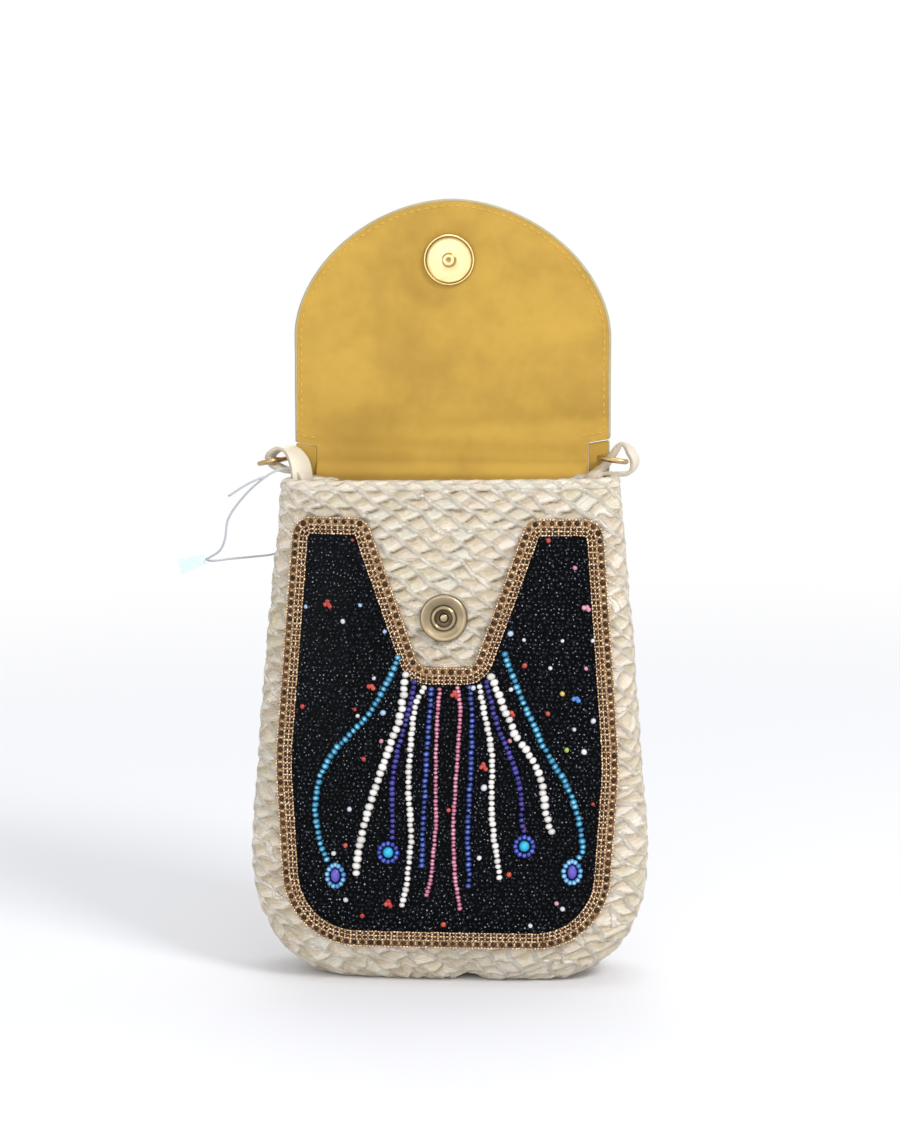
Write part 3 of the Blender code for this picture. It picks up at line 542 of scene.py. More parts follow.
def turned(name: str, profile: Sequence[Point], place: Matrix, steps: int = 64,
           angle: float = 32.0) -> bpy.types.Object:
    """Turn a profile about its own axis and put it in place.

    Args:
        name: The piece's name.
        profile: The radius and the height in millimetres, and the patina from 0 to 1.
        place: Where it goes, its axis along Z.
        steps: How many faces it has round.
        angle: Edges sharper than this many degrees stay sharp.

    Returns:
        The piece.
    """
    outline = np.array(profile) * (0.001, 0.001, 1.0)
    rows = len(outline) - 1

    def shape(share: np.ndarray, run: np.ndarray) -> np.ndarray:
        """Return the turned points."""
        ring = np.rint(run * rows).astype(int)
        radius, height = outline[ring, 0], outline[ring, 1]
        points = np.stack([radius * np.cos(share * math.tau), radius * np.sin(share * math.tau),
                           height, np.ones(len(share))], 1)
        return (points @ np.array(place).T)[:, :3]

    def carried(share: np.ndarray, run: np.ndarray) -> Numbers:
        """Return how dark the metal is along the profile."""
        return {"patina": outline[np.rint(run * rows).astype(int), 2]}

    piece = skin(name, steps, rows, shape, merged=True, outwards=True, carried=carried)
    pick(piece)
    bpy.ops.object.shade_smooth_by_angle(angle=math.radians(angle))
    return piece


@cache
def bead_pattern(segments: int, rings: int, dome: bool) -> tuple[np.ndarray, np.ndarray]:
    """Model one bead of radius 1, once for each pattern.

    Args:
        segments: Faces round it.
        rings: Faces from pole to pole.
        dome: Whether the lower half, which nothing shows, is left out.

    Returns:
        Its points, and its triangles put in a fixed order, because Blender's own can change.
    """
    deselect()
    bpy.ops.mesh.primitive_uv_sphere_add(segments=segments, ring_count=rings, radius=1.0)
    piece = bpy.context.object
    with editing(piece):
        if dome:
            bpy.ops.mesh.bisect(plane_co=(0, 0, -0.05), plane_no=(0, 0, 1), clear_inner=True)
            bpy.ops.mesh.select_all(action="SELECT")
        bpy.ops.mesh.quads_convert_to_tris()
    points = coordinates(piece)
    faces = np.array([tuple(face.vertices) for face in piece.data.polygons])
    bpy.data.objects.remove(piece, do_unlink=True)
    turn = faces.argmin(1)[:, None] + np.arange(3)
    faces = np.take_along_axis(faces, turn % 3, 1)
    return points, faces[np.lexsort(faces.T)]


def stamp(name: str, pattern: tuple[np.ndarray, np.ndarray], places: np.ndarray,
          shades: np.ndarray) -> bpy.types.Object:
    """Copy one modelled bead to many places in one piece.

    Args:
        name: The piece's name.
        pattern: The bead's points and triangles.
        places: A 4 by 4 matrix for each copy.
        shades: A number from 0 to 1 for each copy, for its shade.

    Returns:
        The piece.
    """
    points, faces = pattern
    solid = np.concatenate([points, np.ones((len(points), 1))], 1)
    spread = np.einsum("nij,pj->npi", places, solid)[:, :, :3]
    shift = np.arange(len(places))[:, None, None] * len(points)
    corners = (faces[None] + shift).reshape(-1, 3)
    mesh = bpy.data.meshes.new(name)
    mesh.vertices.add(len(places) * len(points))
    mesh.vertices.foreach_set("co", spread.astype(np.float32).ravel())
    mesh.loops.add(corners.size)
    mesh.loops.foreach_set("vertex_index", corners.astype(np.int32).ravel())
    mesh.polygons.add(len(corners))
    mesh.polygons.foreach_set("loop_start", np.arange(0, corners.size, 3, dtype=np.int32))
    mesh.update(calc_edges=True)
    mesh.polygons.foreach_set("use_smooth", np.ones(len(corners), bool))
    piece = bpy.data.objects.new(name, mesh)
    bpy.context.scene.collection.objects.link(piece)
    carry(piece, "shade", np.repeat(shades, len(points)))
    # Each point's height on its bead, which the finishes use for painted shade and painted
    # highlights.
    carry(piece, "crown", np.tile(np.clip(points[:, 2], 0, 1), len(places)))
    return piece


def dress(piece: bpy.types.Object, material: bpy.types.Material,
          body: str | None = BODY, replaced: Iterable[str] = ()) -> bpy.types.Object:
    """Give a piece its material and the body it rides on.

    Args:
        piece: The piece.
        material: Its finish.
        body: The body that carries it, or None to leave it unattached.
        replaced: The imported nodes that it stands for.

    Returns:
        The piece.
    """
    piece.data.materials.clear()
    piece.data.materials.append(material)
    if body is not None:
        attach(piece, body)
    for node in replaced:
        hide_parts(node)
    log.info("%s: %d faces", piece.name, len(getattr(piece.data, "polygons", ())))
    return piece


def soft_noise(x: np.ndarray, y: np.ndarray, seed: int, wrap: int = 0) -> np.ndarray:
    """Return smooth random values from 0 to 1 over a plane, one knot a unit.

    Args:
        x: Places along the first direction.
        y: Places along the second.
        seed: Picks the pattern.
        wrap: After how many units the first direction repeats, or 0.

    Returns:
        The values.
    """
    knots = np.random.default_rng(seed).random((256, 256))
    column, row = np.floor(x).astype(int), np.floor(y).astype(int)
    share_x, share_y = smoothstep(0, 1, x - column), smoothstep(0, 1, y - row)
    after = column + 1
    if wrap:
        column, after = column % wrap, after % wrap
    lower, upper = (knots[column % 256, line % 256] * (1 - share_x)
                    + knots[after % 256, line % 256] * share_x for line in (row, row + 1))
    return lower * (1 - share_y) + upper * share_y


def smoothstep(low: float, high: float, value: np.ndarray) -> np.ndarray:
    """Return 0 below low, 1 above high and a smooth rise between."""
    share = np.clip((value - low) / (high - low), 0, 1)
    return share * share * (3 - 2 * share)


def hump(value: np.ndarray, centre: float, width: np.ndarray | float) -> np.ndarray:
    """Return 1 at the centre and a smooth fall to nothing on either side."""
    return np.exp(-((value - centre) / width) ** 2)


def uneven(random: np.random.Generator, count: int | tuple[int, ...], spread: float) -> np.ndarray:
    """Return random numbers spread evenly about 0."""
    return (random.random(count) - 0.5) * spread


def straw_numbers(braid: Numbers) -> Numbers:
    """Return those of a braid's numbers that the straw's finish reads."""
    return {key: braid[key] for key in STRAW_NUMBERS}


def smooth_path(points: Sequence[Sequence[float]], count: int) -> np.ndarray:
    """Return points evenly spaced along a smooth curve through the given ones."""
    knots = np.array(points, float)
    knots = np.vstack([2 * knots[0] - knots[1], knots, 2 * knots[-1] - knots[-2]])
    fine = []
    for number in range(1, len(knots) - 2):
        before, start, stop, after = knots[number - 1:number + 3]
        share = np.arange(16)[:, None] / 16
        fine.append(0.5 * (2 * start + (stop - before) * share
                           + (2 * before - 5 * start + 4 * stop - after) * share ** 2
                           + (3 * start - before - 3 * stop + after) * share ** 3))
    fine.append(knots[-2:-1])
    return resample(np.vstack(fine), count)


def resample(line: np.ndarray, count: int) -> np.ndarray:
    """Return a line's points spaced evenly along it."""
    run = run_along(line)
    wanted = np.linspace(0, run[-1], count)
    return np.stack([np.interp(wanted, run, line[:, axis]) for axis in range(line.shape[1])], 1)


# --------------------------------------------------------------- the bag's form


@dataclass(frozen=True)
class BagForm:
    """The straw body's outline and section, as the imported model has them."""

    height: float = 0.180
    half_mouth: float = 0.0596
    mouth_depth: float = 0.012
    half_belly: float = 0.0711
    belly_depth: float = 0.021
    belly_height: float = 0.045
    deepest_height: float = 0.024
    width_cut: float = 0.036
    depth_cut: float = 0.011
    side_bow: float = 1.2
    section_power: float = 3.6
    corner_power: float = 2.2
    rim_tilt: float = 0.0009

    def half_width(self, height: np.ndarray) -> np.ndarray:
        """Return half the width at each height."""
        rise = np.clip((height - self.belly_height) / (self.height - self.belly_height), 0, 1)
        upper = self.half_belly - (self.half_belly - self.half_mouth) * rise ** self.side_bow
        fall = np.clip((self.belly_height - height) / self.belly_height, 0, 1)
        power = self.corner_power
        lower = self.half_belly - self.width_cut * (1 - (1 - fall ** power) ** (1 / power))
        return np.where(height >= self.belly_height, upper, lower)

    def half_depth(self, height: np.ndarray) -> np.ndarray:
        """Return half the depth at each height."""
        rise = np.clip((height - self.deepest_height) / (self.height - self.deepest_height), 0, 1)
        upper = self.belly_depth - (self.belly_depth - self.mouth_depth) * rise
        fall = np.clip((self.deepest_height - height) / self.deepest_height, 0, 1)
        lower = self.belly_depth - self.depth_cut * (1 - np.sqrt(1 - fall * fall))
        return np.where(height >= self.deepest_height, upper, lower)

    def section(self, share: np.ndarray, width: np.ndarray,
                depth: np.ndarray) -> tuple[np.ndarray, np.ndarray]:
        """Return x and y at a share of the way round, 0 at the right and a quarter at the back."""
        fine = np.linspace(0, math.tau, 2881)
        middle = np.array(self.height / 2)
        girth = self._curve(fine, self.half_width(middle), self.half_depth(middle))
        run = run_along(np.stack(girth, 1))
        angle = np.interp((share % 1.0) * run[-1], run, fine)
        return self._curve(angle, width, depth)

    def _curve(self, angle: np.ndarray, width: np.ndarray,
               depth: np.ndarray) -> tuple[np.ndarray, np.ndarray]:
        """Return the rounded section's point at an angle."""
        power = 2 / self.section_power
        x = width * np.sign(np.cos(angle)) * np.abs(np.cos(angle)) ** power
        y = depth * np.sign(np.sin(angle)) * np.abs(np.sin(angle)) ** power
        return x, y

    def front_y(self, x: np.ndarray, height: np.ndarray) -> np.ndarray:
        """Return where the smooth front face lies."""
        across = np.clip(np.abs(x) / self.half_width(height), 0, 1)
        power = self.section_power
        return -self.half_depth(height) * (1 - across ** power) ** (1 / power)

    def on_front(self, x: np.ndarray, height: np.ndarray, out: np.ndarray | float,
                 ) -> tuple[np.ndarray, np.ndarray, np.ndarray, np.ndarray]:
        """Return points off the front face, with the right, up and out directions there."""
        step = 0.0004
        y = self.front_y(x, height)
        slope_x = (self.front_y(x + step, height) - self.front_y(x - step, height)) / (2 * step)
        slope_z = (self.front_y(x, height + step) - self.front_y(x, height - step)) / (2 * step)
        right = unit(np.stack([np.ones_like(x), slope_x, np.zeros_like(x)], 1))
        outward = unit(np.cross(right, np.stack([np.zeros_like(x), slope_z, np.ones_like(x)], 1)))
        return np.stack([x, y - out, height], 1), right, np.cross(outward, right), outward

    def tilt(self, x: np.ndarray, height: np.ndarray) -> np.ndarray:
        """Return how far the rim is raised at the right and lowered at the left."""
        return self.rim_tilt * x / self.half_mouth * smoothstep(0.120, 0.178, height)


FORM = BagForm()


@dataclass(frozen=True)
class PanelForm:
    """The beaded panel's outline, like a shield with a notch for the snap.

    Each corner of its right half is its place across and up, and its radius.
    """

    corners: tuple[tuple[float, float, float], ...] = (
        (0.0575, 0.014, 0.027), (0.0618, 0.080, 0.120), (0.0552, 0.1683, 0.0075),
        (0.0286, 0.1683, 0.0065), (0.0096, 0.1152, 0.005))

    def rounded(self) -> np.ndarray:
        """Return the outline's points, each corner rounded by its radius."""
        corners = list(self.corners) + [(-x, z, radius) for x, z, radius in reversed(self.corners)]
        outline = []
        for number, (x, z, radius) in enumerate(corners):
            corner = np.array((x, z))
            before = np.array(corners[number - 1][:2]) - corner
            after = np.array(corners[(number + 1) % len(corners)][:2]) - corner
            before /= np.linalg.norm(before)
            after /= np.linalg.norm(after)
            opening = math.acos(before @ after)
            middle = (before + after) / np.linalg.norm(before + after)
            centre = corner + middle * radius / math.sin(opening / 2)
            tangent = radius / math.tan(opening / 2)
            first, last = (corner + side * tangent - centre for side in (before, after))
            turn = math.atan2(first[0] * last[1] - first[1] * last[0], first @ last)
            for angle in np.linspace(0, turn, max(6, math.ceil(abs(turn) * radius / 0.0004))):
                cos, sin = math.cos(angle), math.sin(angle)
                outline.append(centre + (cos * first[0] - sin * first[1],
                                         sin * first[0] + cos * first[1]))
        return np.array(outline)

    def line(self, inset: float, count: int) -> np.ndarray:
        """Return points spaced evenly round the outline, drawn in by the inset."""
        closed = self.rounded()
        fine = resample(np.vstack([closed, closed[:1]]), 2401)[:-1]
        along = unit(round_chords(fine))
        drawn = fine + np.stack([-along[:, 1], along[:, 0]], 1) * inset
        return resample(np.vstack([drawn, drawn[:1]]), count + 1)[:-1]

    def spaced(self, inset: float, pitch: float) -> np.ndarray:
        """Return points round the outline that are about a pitch apart."""
        line = self.line(inset, 1200)
        length = np.linalg.norm(np.roll(line, -1, 0) - line, axis=1).sum()
        return self.line(inset, round(length / pitch))

    def contains(self, x: np.ndarray, z: np.ndarray, inset: float) -> np.ndarray:
        """Return whether places lie inside the outline by the inset."""
        line = self.line(inset, 360)
        inside = np.zeros(x.shape, bool)
        for (x0, z0), (x1, z1) in zip(line, np.roll(line, -1, 0)):
            crosses = (z0 > z) != (z1 > z)
            if z0 != z1:
                inside ^= crosses & (x < (x1 - x0) * (z - z0) / (z1 - z0) + x0)
        return inside


PANEL = PanelForm()
# The snap's middle: across, up the front where it shuts, and from the flap's hinge.
SNAP_X = -0.001
SNAP_Z = 0.13257
SNAP_REACH = 0.0765
BINDING_TOP = 0.1815


@dataclass(frozen=True)
class FlapForm:
    """The flap's outline and its soft creases, as it stands up from its hinge."""

    hinge_y: float = 0.0097
    hinge_z: float = 0.1820
    half_full: float = 0.0570
    length: float = 0.0981
    straight: float = 0.049
    tip_power: float = 1.85
    half_root: float = 0.0490
    root_left: float = 0.0088
    root_right: float = 0.0108
    shoulder: float = 0.0018
    thickness: float = 0.0023
    split: float = 0.0135

    def half(self, reach: np.ndarray, side: np.ndarray, inset: float = 0.0) -> np.ndarray:
        """Return half the width at a distance from the root, on the left or the right."""
        full, root = self.half_full - inset, self.half_root - inset
        start = np.where(side < 0, self.root_left, self.root_right) + inset
        rise = smoothstep(0.0, 1.0, (reach - start) / self.shoulder)
        lower = root + (full - root) * rise
        share = np.clip((reach - self.straight) / (self.length - inset - self.straight), 0, 1)
        power = self.tip_power
        upper = full * (1 - share ** power) ** (1 / power)
        return np.where(reach <= self.straight, lower, upper)

    def crease(self, x: np.ndarray, reach: np.ndarray) -> np.ndarray:
        """Return how far the cloth lies off its plane."""
        flat = smoothstep(0.0105, 0.020, np.hypot(x - SNAP_X, reach - SNAP_REACH))
        flat = flat * smoothstep(0.002, 0.020, reach) * (1 - 0.9 * hump(reach, 0.030, 0.009))
        soft = soft_noise(x * 60 + 9, reach * 34 + 3, 51) - 0.20
        fold = soft_noise(x * 45 + reach * 60 + 7, reach * 95 - x * 40 + 9, 52) - 0.25
        upper = hump(reach - 0.06 * x, 0.0165, 0.0032) * smoothstep(-0.05, 0.02, x)
        lower = hump(reach + 0.03 * x, 0.0085, 0.0026)
        pinch = hump(reach - 0.55 * (x + 0.035), 0.046, 0.0030) * hump(x, -0.032, 0.014)
        loose = soft * 0.0016 + fold * 0.0012 + upper * 0.0006 + pinch * 0.0007
        return loose * flat + lower * 0.0004

    def edge(self, inset: float, count: int) -> np.ndarray:
        """Return the edge as x and reach, from the left root round the tip to the right root."""
        reach = np.concatenate([np.linspace(-0.002, self.straight, 160),
                                self.straight + (self.length - inset - self.straight)
                                * np.sin(np.linspace(0.01, math.pi / 2, 160))])
        left, right = (np.stack([side * self.half(reach, side * np.ones(320), inset), reach], 1)
                       for side in (-1, 1))
        return resample(np.vstack([left, right[-2::-1]]), count)


FLAP = FlapForm()


@dataclass(frozen=True)
class Plait:
    """The braid: ridges that run down to the right over shingled cells, each cell with one of the
    slits, which carry a painted shadow.
    """

    pitch: float = 0.0107
    row: float = 0.0035
    relief: float = 0.0012
    fibre_length: float = 0.0058
    seed: int = 7

    def field(self, across: np.ndarray, up: np.ndarray, wrap: int = 0,
              wild: np.ndarray | float = 0.0) -> Numbers:
        """Work out the braid at places counted in cells across and rows up.

        Args:
            across: Cells along the row.
            up: Rows from the start.
            wrap: After how many cells the rows meet themselves, or 0.
            wild: How uneven the braid is, from 0 to 1.

        Returns:
            The height from 0 to 1, and the numbers for ridges, for the painted shadow in the
            slits, for tint and for fibre.
        """
        warp_x = soft_noise(across * 2, up * 0.6, self.seed, wrap * 2) - 0.5
        warp_z = soft_noise(across * 2, up * 0.5, self.seed + 1, wrap * 2) - 0.5
        ripple = soft_noise(across * 5, up * 1.9, self.seed + 3, wrap * 5) - 0.5
        across = across + (0.19 + 0.20 * wild) * warp_x + 0.09 * ripple
        up = up + (0.55 + 0.65 * wild) * warp_z
        down, rise = across + up / 2, across - up / 2
        lane = np.floor(down).astype(int)
        low = down - lane
        grain = soft_noise(rise * 9, up * 0.8, self.seed + 4, wrap * 9) - 0.5
        rise = rise - 0.34 * (low - 0.5) + 0.42 * (low - 0.5) ** 2
        step = np.floor(rise).astype(int)
        left = rise - step
        column = (lane + step) % (2 * wrap) if wrap else lane + step
        randoms = np.random.default_rng(self.seed + 2).random((4, 211, 97))
        first, second, third, fourth = randoms[:, (lane - step) % 211, column % 97]
        lapped = smoothstep(0.15, 0.88, left) + 1 - smoothstep(0, 0.11, left)
        shingle = 0.16 + 0.56 * lapped
        edge = np.minimum(low, 1 - low)
        ridge = hump(edge, 0, 0.11 + 0.05 * first) * (0.86 + 0.5 * ripple)
        height = shingle * (0.70 + 0.36 * fourth) + (1 - 0.7 * shingle) * ridge * 0.85
        height += 0.22 * grain
        # The slits: a shallow groove in the height, and painted shadow under the ridge above.
        line = left - 0.075 - 0.06 * (low - 0.15)
        dark = hump(line, 0, np.where(line < 0, 0.055, 0.11 + 0.07 * first))
        dark *= smoothstep(0.10, 0.30, low) * smoothstep(0.94, 0.60, low)
        dark *= (0.12 + 1.0 * smoothstep(0.10, 0.80, second)) * (1 - 0.6 * wild)
        height = np.clip(height - 0.35 * dark, 0, 1)
        return {"height": height, "ridge": height, "slit": np.clip(dark, 0, 1), "tint": third,
                "fibre": np.where(ridge > 0.4, down, rise) * self.fibre_length}


# -------------------------------------------------------------------- the body


@dataclass
class StrawShell:
    """The plaited body: a front and a back sheet that meet at the sides and under the base.

    The pucker lifts the front of the base a little: its middle, its width and how high it reaches.
    """

    finish: bpy.types.Material
    columns: int = 280
    rows: int = 320
    leaves: int = 28
    braid_rows: float = 55.0
    lumps: float = 0.0005
    relief_under_beads: float = 0.0009
    relief_under_snap: float = 0.0007
    snap_seat: float = 0.009
    pucker: tuple[float, float, float] = (0.008, 0.0045, 0.014)
    pucker_lift: float = 0.0024
    plait: Plait = Plait()

    def profile(self, run: np.ndarray) -> tuple[np.ndarray, np.ndarray]:
        """Return the height and how far out from the middle line, at shares from base to rim."""
        height = np.concatenate([np.zeros(40), np.linspace(0, 1, 400) ** 1.6 * FORM.height])
        spread = np.concatenate([np.linspace(0, 1, 40), np.ones(400)])
        depth = FORM.half_depth(height) * spread
        length = np.concatenate([[0], np.cumsum(np.hypot(np.diff(height), np.diff(depth)))])
        wanted = run * length[-1]
        return np.interp(wanted, length, height), np.interp(wanted, length, spread)

    def smooth(self, share: np.ndarray, run: np.ndarray) -> np.ndarray:
        """Return the points of the body without its braid."""
        height, spread = self.profile(run)
        x, y = FORM.section(share, FORM.half_width(height), FORM.half_depth(height))
        return np.stack([x, y * spread, height], 1)

    def braid(self, share: np.ndarray, run: np.ndarray) -> Numbers:
        """Return the braid's numbers at places on the body."""
        wild = np.abs(np.cos(share * math.tau)) ** 6 + 1 - smoothstep(0.08, 0.22, run)
        return self.plait.field(share * self.leaves, run * self.braid_rows, self.leaves,
                                np.clip(wild, 0, 1))

    def points(self, share: np.ndarray, run: np.ndarray) -> np.ndarray:
        """Return the points with the braid, the lumps, the pucker and the tilted mouth."""
        base = self.smooth(share, run)
        aside, above = 0.0008, 0.002
        ahead = self.smooth(share + aside, run) - self.smooth(share - aside, run)
        rise = (self.smooth(share, np.clip(run + above, 0, 1))
                - self.smooth(share, np.clip(run - above, 0, 1)))
        outward = unit(np.cross(ahead, rise))
        x, y, height = base.T
        covered = PANEL.contains(x, height, 0.0012) & (y < 0)
        from_snap = np.hypot(x - SNAP_X, height - SNAP_Z) + (y > 0)
        calm = np.where(covered, 0.0, 1.0) * smoothstep(0.0085, 0.0125, from_snap)
        calm *= smoothstep(0.0, 0.010, FORM.height - height)
        lump = soft_noise(share * 18, run * 11, 31, 18) + soft_noise(share * 42, run * 27, 33, 42)
        raised = self.braid(share, run)["height"] * self.plait.relief
        raised = np.where(covered, np.minimum(raised, self.relief_under_beads), raised)
        raised *= 0.25 + 0.75 * smoothstep(0.0, 0.012, np.abs(y) + height)
        raised = np.where(from_snap < self.snap_seat,
                          np.minimum(raised, self.relief_under_snap), raised)
        base = base + outward * (raised + (lump - 1.0) * self.lumps * calm)[:, None]
        centre, width, top = self.pucker
        pucker = hump(x, centre, width) * (1 - smoothstep(0.0, top, height))
        base[:, 2] += pucker * self.pucker_lift * (y < 0.004)
        base[:, 2] = np.maximum(base[:, 2] + FORM.tilt(x, height), 0.0)
        return base

    def build(self) -> None:
        """Make both sheets."""
        for name, start in (("straw_front", 0.5), ("straw_back", 0.0)):
            piece = skin(
                name, self.columns, self.rows,
                lambda along, up, start=start: self.points(start + along / 2, up),
                carried=lambda along, up, start=start: straw_numbers(
                    self.braid(start + along / 2, up)))
            dress(piece, self.finish, replaced=["straw_body"])


@dataclass
class MouthBinding:
    """The braid folded over the rim, with a seam below it.

    Its section is how far out from the body and how high each of its points is, in millimetres.
    """

    finish: bpy.types.Material
    plait: Plait = Plait(row=0.0030, relief=0.0004, seed=19)
    columns: int = 420
    rows: int = 48
    leaves: int = 34
    braid_rows: float = 4.6
    fold: float = -0.0012
    section: tuple[tuple[float, float], ...] = (
        (0, 177.6), (0.5, 177.8), (0.9, 178.5), (1.0, 179.4), (0.7, 180.3), (0, 180.9),
        (-1.2, 181.2), (-2.6, 181.1), (-3.5, 180.4), (-3.8, 179.0), (-3.7, 176.8), (-3.1, 176.0))

    def points(self, along: np.ndarray, up: np.ndarray) -> np.ndarray:
        """Return the roll's points, round the mouth and over the rim."""
        line = resample(smooth_path(self.section, 60), self.rows + 1) / 1000
        out, height = line[np.rint(up * self.rows).astype(int)].T
        level = np.minimum(height, FORM.height)
        made = self.braid(along, up)["height"] * self.plait.relief
        grow = made * smoothstep(0.0, 0.1, up) * smoothstep(1.0, 0.9, up)
        out_grown = out + grow * np.where(out > self.fold, 1.0, -1.0)
        x, y = FORM.section(along, FORM.half_width(level) + out_grown,
                            FORM.half_depth(level) + out_grown)
        lift = grow * hump(out, self.fold, 0.0014) * 0.8
        return np.stack([x, y, height + lift + FORM.tilt(x, height)], 1)

    def braid(self, along: np.ndarray, up: np.ndarray) -> Numbers:
        """Return the braid's numbers on the roll."""
        return self.plait.field(along * self.leaves, up * self.braid_rows + 0.3, self.leaves)

    def carried(self, along: np.ndarray, up: np.ndarray) -> Numbers:
        """Return the numbers that the straw's finish reads."""
        made = self.braid(along, up)
        # The seam low on the roll is a dark joint; the band along the roll's top is painted shade,
        # and the painted light and shade of ridges and hollows is weaker here.
        seam, crest_shade = hump(up, 0.05, 0.02) * 0.3, hump(up, 0.53, 0.085) * 0.55
        made["slit"] = np.clip(made["slit"] * 0.6 + seam + crest_shade, 0, 1)
        made["ridge"] = 0.40 + 0.50 * made["ridge"]
        return straw_numbers(made)

    def build(self) -> None:
        """Make the roll, with a mesh of its own."""
        piece = skin("mouth_roll", self.columns, self.rows, self.points, merged=True,
                     carried=self.carried)
        dress(piece, self.finish, replaced=["mouth_binding"])
        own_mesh(piece)


# ------------------------------------------------------------------ the beadwork


def seats(spots: np.ndarray, out: np.ndarray | float, sizes: tuple[object, object, object],
          turn: np.ndarray | float = 0.0) -> np.ndarray:
    """Return a matrix for each bead that sits on the front.

    Args:
        spots: The beads' places across and up.
        out: How far their middles are off the front.
        sizes: Their half sizes along, across and outwards.
        turn: How far each is turned on the face.

    Returns:
        The matrices, one 4 by 4 for each bead.
    """
    points, right, up, outward = FORM.on_front(spots[:, 0], spots[:, 1], out)
    turn = np.broadcast_to(turn, len(spots))[:, None]
    along = right * np.cos(turn) + up * np.sin(turn)
    across = up * np.cos(turn) - right * np.sin(turn)
    made = np.zeros((len(spots), 4, 4))
    for column, (direction, size) in enumerate(zip((along, across, outward), sizes)):
        made[:, :3, column] = direction * np.broadcast_to(size, len(spots))[:, None]
    made[:, :3, 3] = points
    made[:, 3, 3] = 1
    return made


@dataclass(frozen=True)
class StoneRow:
    """One row of stones: its inset from the panel's edge, its pitch and half its stones' sizes."""

    name: str
    inset: float
    pitch: float
    long: float
    wide: float


@dataclass
class BeadBorder:
    """Dark stones set in gold along the panel's edge: one wide row and two narrow ones."""

    gold: bpy.types.Material
    ground: bpy.types.Material
    stone: bpy.types.Material
    rows: tuple[StoneRow, ...] = (StoneRow("outer", 0.00162, 0.00295, 0.00094, 0.00092),
                                  StoneRow("middle", 0.00368, 0.00210, 0.00078, 0.00052),
                                  StoneRow("inner", 0.00510, 0.00210, 0.00076, 0.00050))
    rails: tuple[float, ...] = (0.00030, 0.00295, 0.00438, 0.00578)
    rail_pitch: float = 0.00112
    rail_bead: float = 0.00036
    seat: float = 0.0030
    setting: tuple[tuple[float, float], ...] = (
        (0.0001, 0.0014), (0.0001, 0.0026), (0.0006, 0.0030), (0.0030, 0.0031), (0.0058, 0.0030),
        (0.0061, 0.0027), (0.0061, 0.0016))
    setting_steps: int = 620

    def ribbon(self) -> None:
        """Lay the gold setting, given by its insets and heights, that the stones are sunk in."""
        count, rows = self.setting_steps, len(self.setting) - 1
        outs = np.array([out for _, out in self.setting])
        lines = np.stack([PANEL.line(inset, count) for inset, _ in self.setting])

        def shape(along: np.ndarray, up: np.ndarray) -> np.ndarray:
            """Return the band's points."""
            row = np.rint(up * rows).astype(int)
            flat = lines[row, np.rint(along * count).astype(int) % count]
            return FORM.on_front(flat[:, 0], flat[:, 1], outs[row])[0]

        piece = skin("border_ribbon", count, rows, shape, merged=True)
        carry(piece, "shade", np.full(len(piece.data.vertices), 0.6))
        dress(piece, self.ground, replaced=["border_row_outer"])

    def stones(self, row: StoneRow, random: np.random.Generator) -> np.ndarray:
        """Set one row of stones, and return the places of the gold bars between them."""
        line = PANEL.spaced(row.inset, row.pitch)
        along = round_chords(line)
        turn = np.arctan2(along[:, 1], along[:, 0])
        vary = 1 + uneven(random, len(line), 0.34)
        places = seats(line, self.seat - 0.0001, (row.long * vary, row.wide * vary, 0.00075), turn)
        piece = stamp(f"border_stones_{row.name}", bead_pattern(10, 8, dome=True), places,
                      random.random(len(line)))
        dress(piece, self.stone,
              replaced=[] if row.name == "outer" else [f"border_row_{row.name}"])
        return seats((line + np.roll(line, -1, 0)) / 2, self.seat + 0.0001,
                     (0.00038, row.wide * 1.05, 0.00050), turn + random.normal(0, 0.12, len(line)))

    def rail(self, inset: float, random: np.random.Generator) -> np.ndarray:
        """Return the places of one row of small gold beads."""
        line = PANEL.spaced(inset, self.rail_pitch)
        along = round_chords(line)
        line = line + random.normal(0, 0.00007, line.shape)
        size = self.rail_bead * (0.75 + 0.5 * random.random(len(line)))
        out = self.seat + 0.0001 + random.random(len(line)) * 0.0003
        return seats(line, out, (size * 1.55, size, 0.00042), np.arctan2(along[:, 1], along[:, 0]))

    def build(self) -> None:
        """Make the ribbon, its rows of small beads, the cross bars and the stones."""
        self.ribbon()
        random = np.random.default_rng(5)
        bars = [self.stones(row, random) for row in self.rows]
        bars += [self.rail(inset, random) for inset in self.rails]
        places = np.concatenate(bars)
        piece = stamp("border_bars", bead_pattern(8, 5, dome=True), places,
                      random.random(len(places)))
        dress(piece, self.gold)


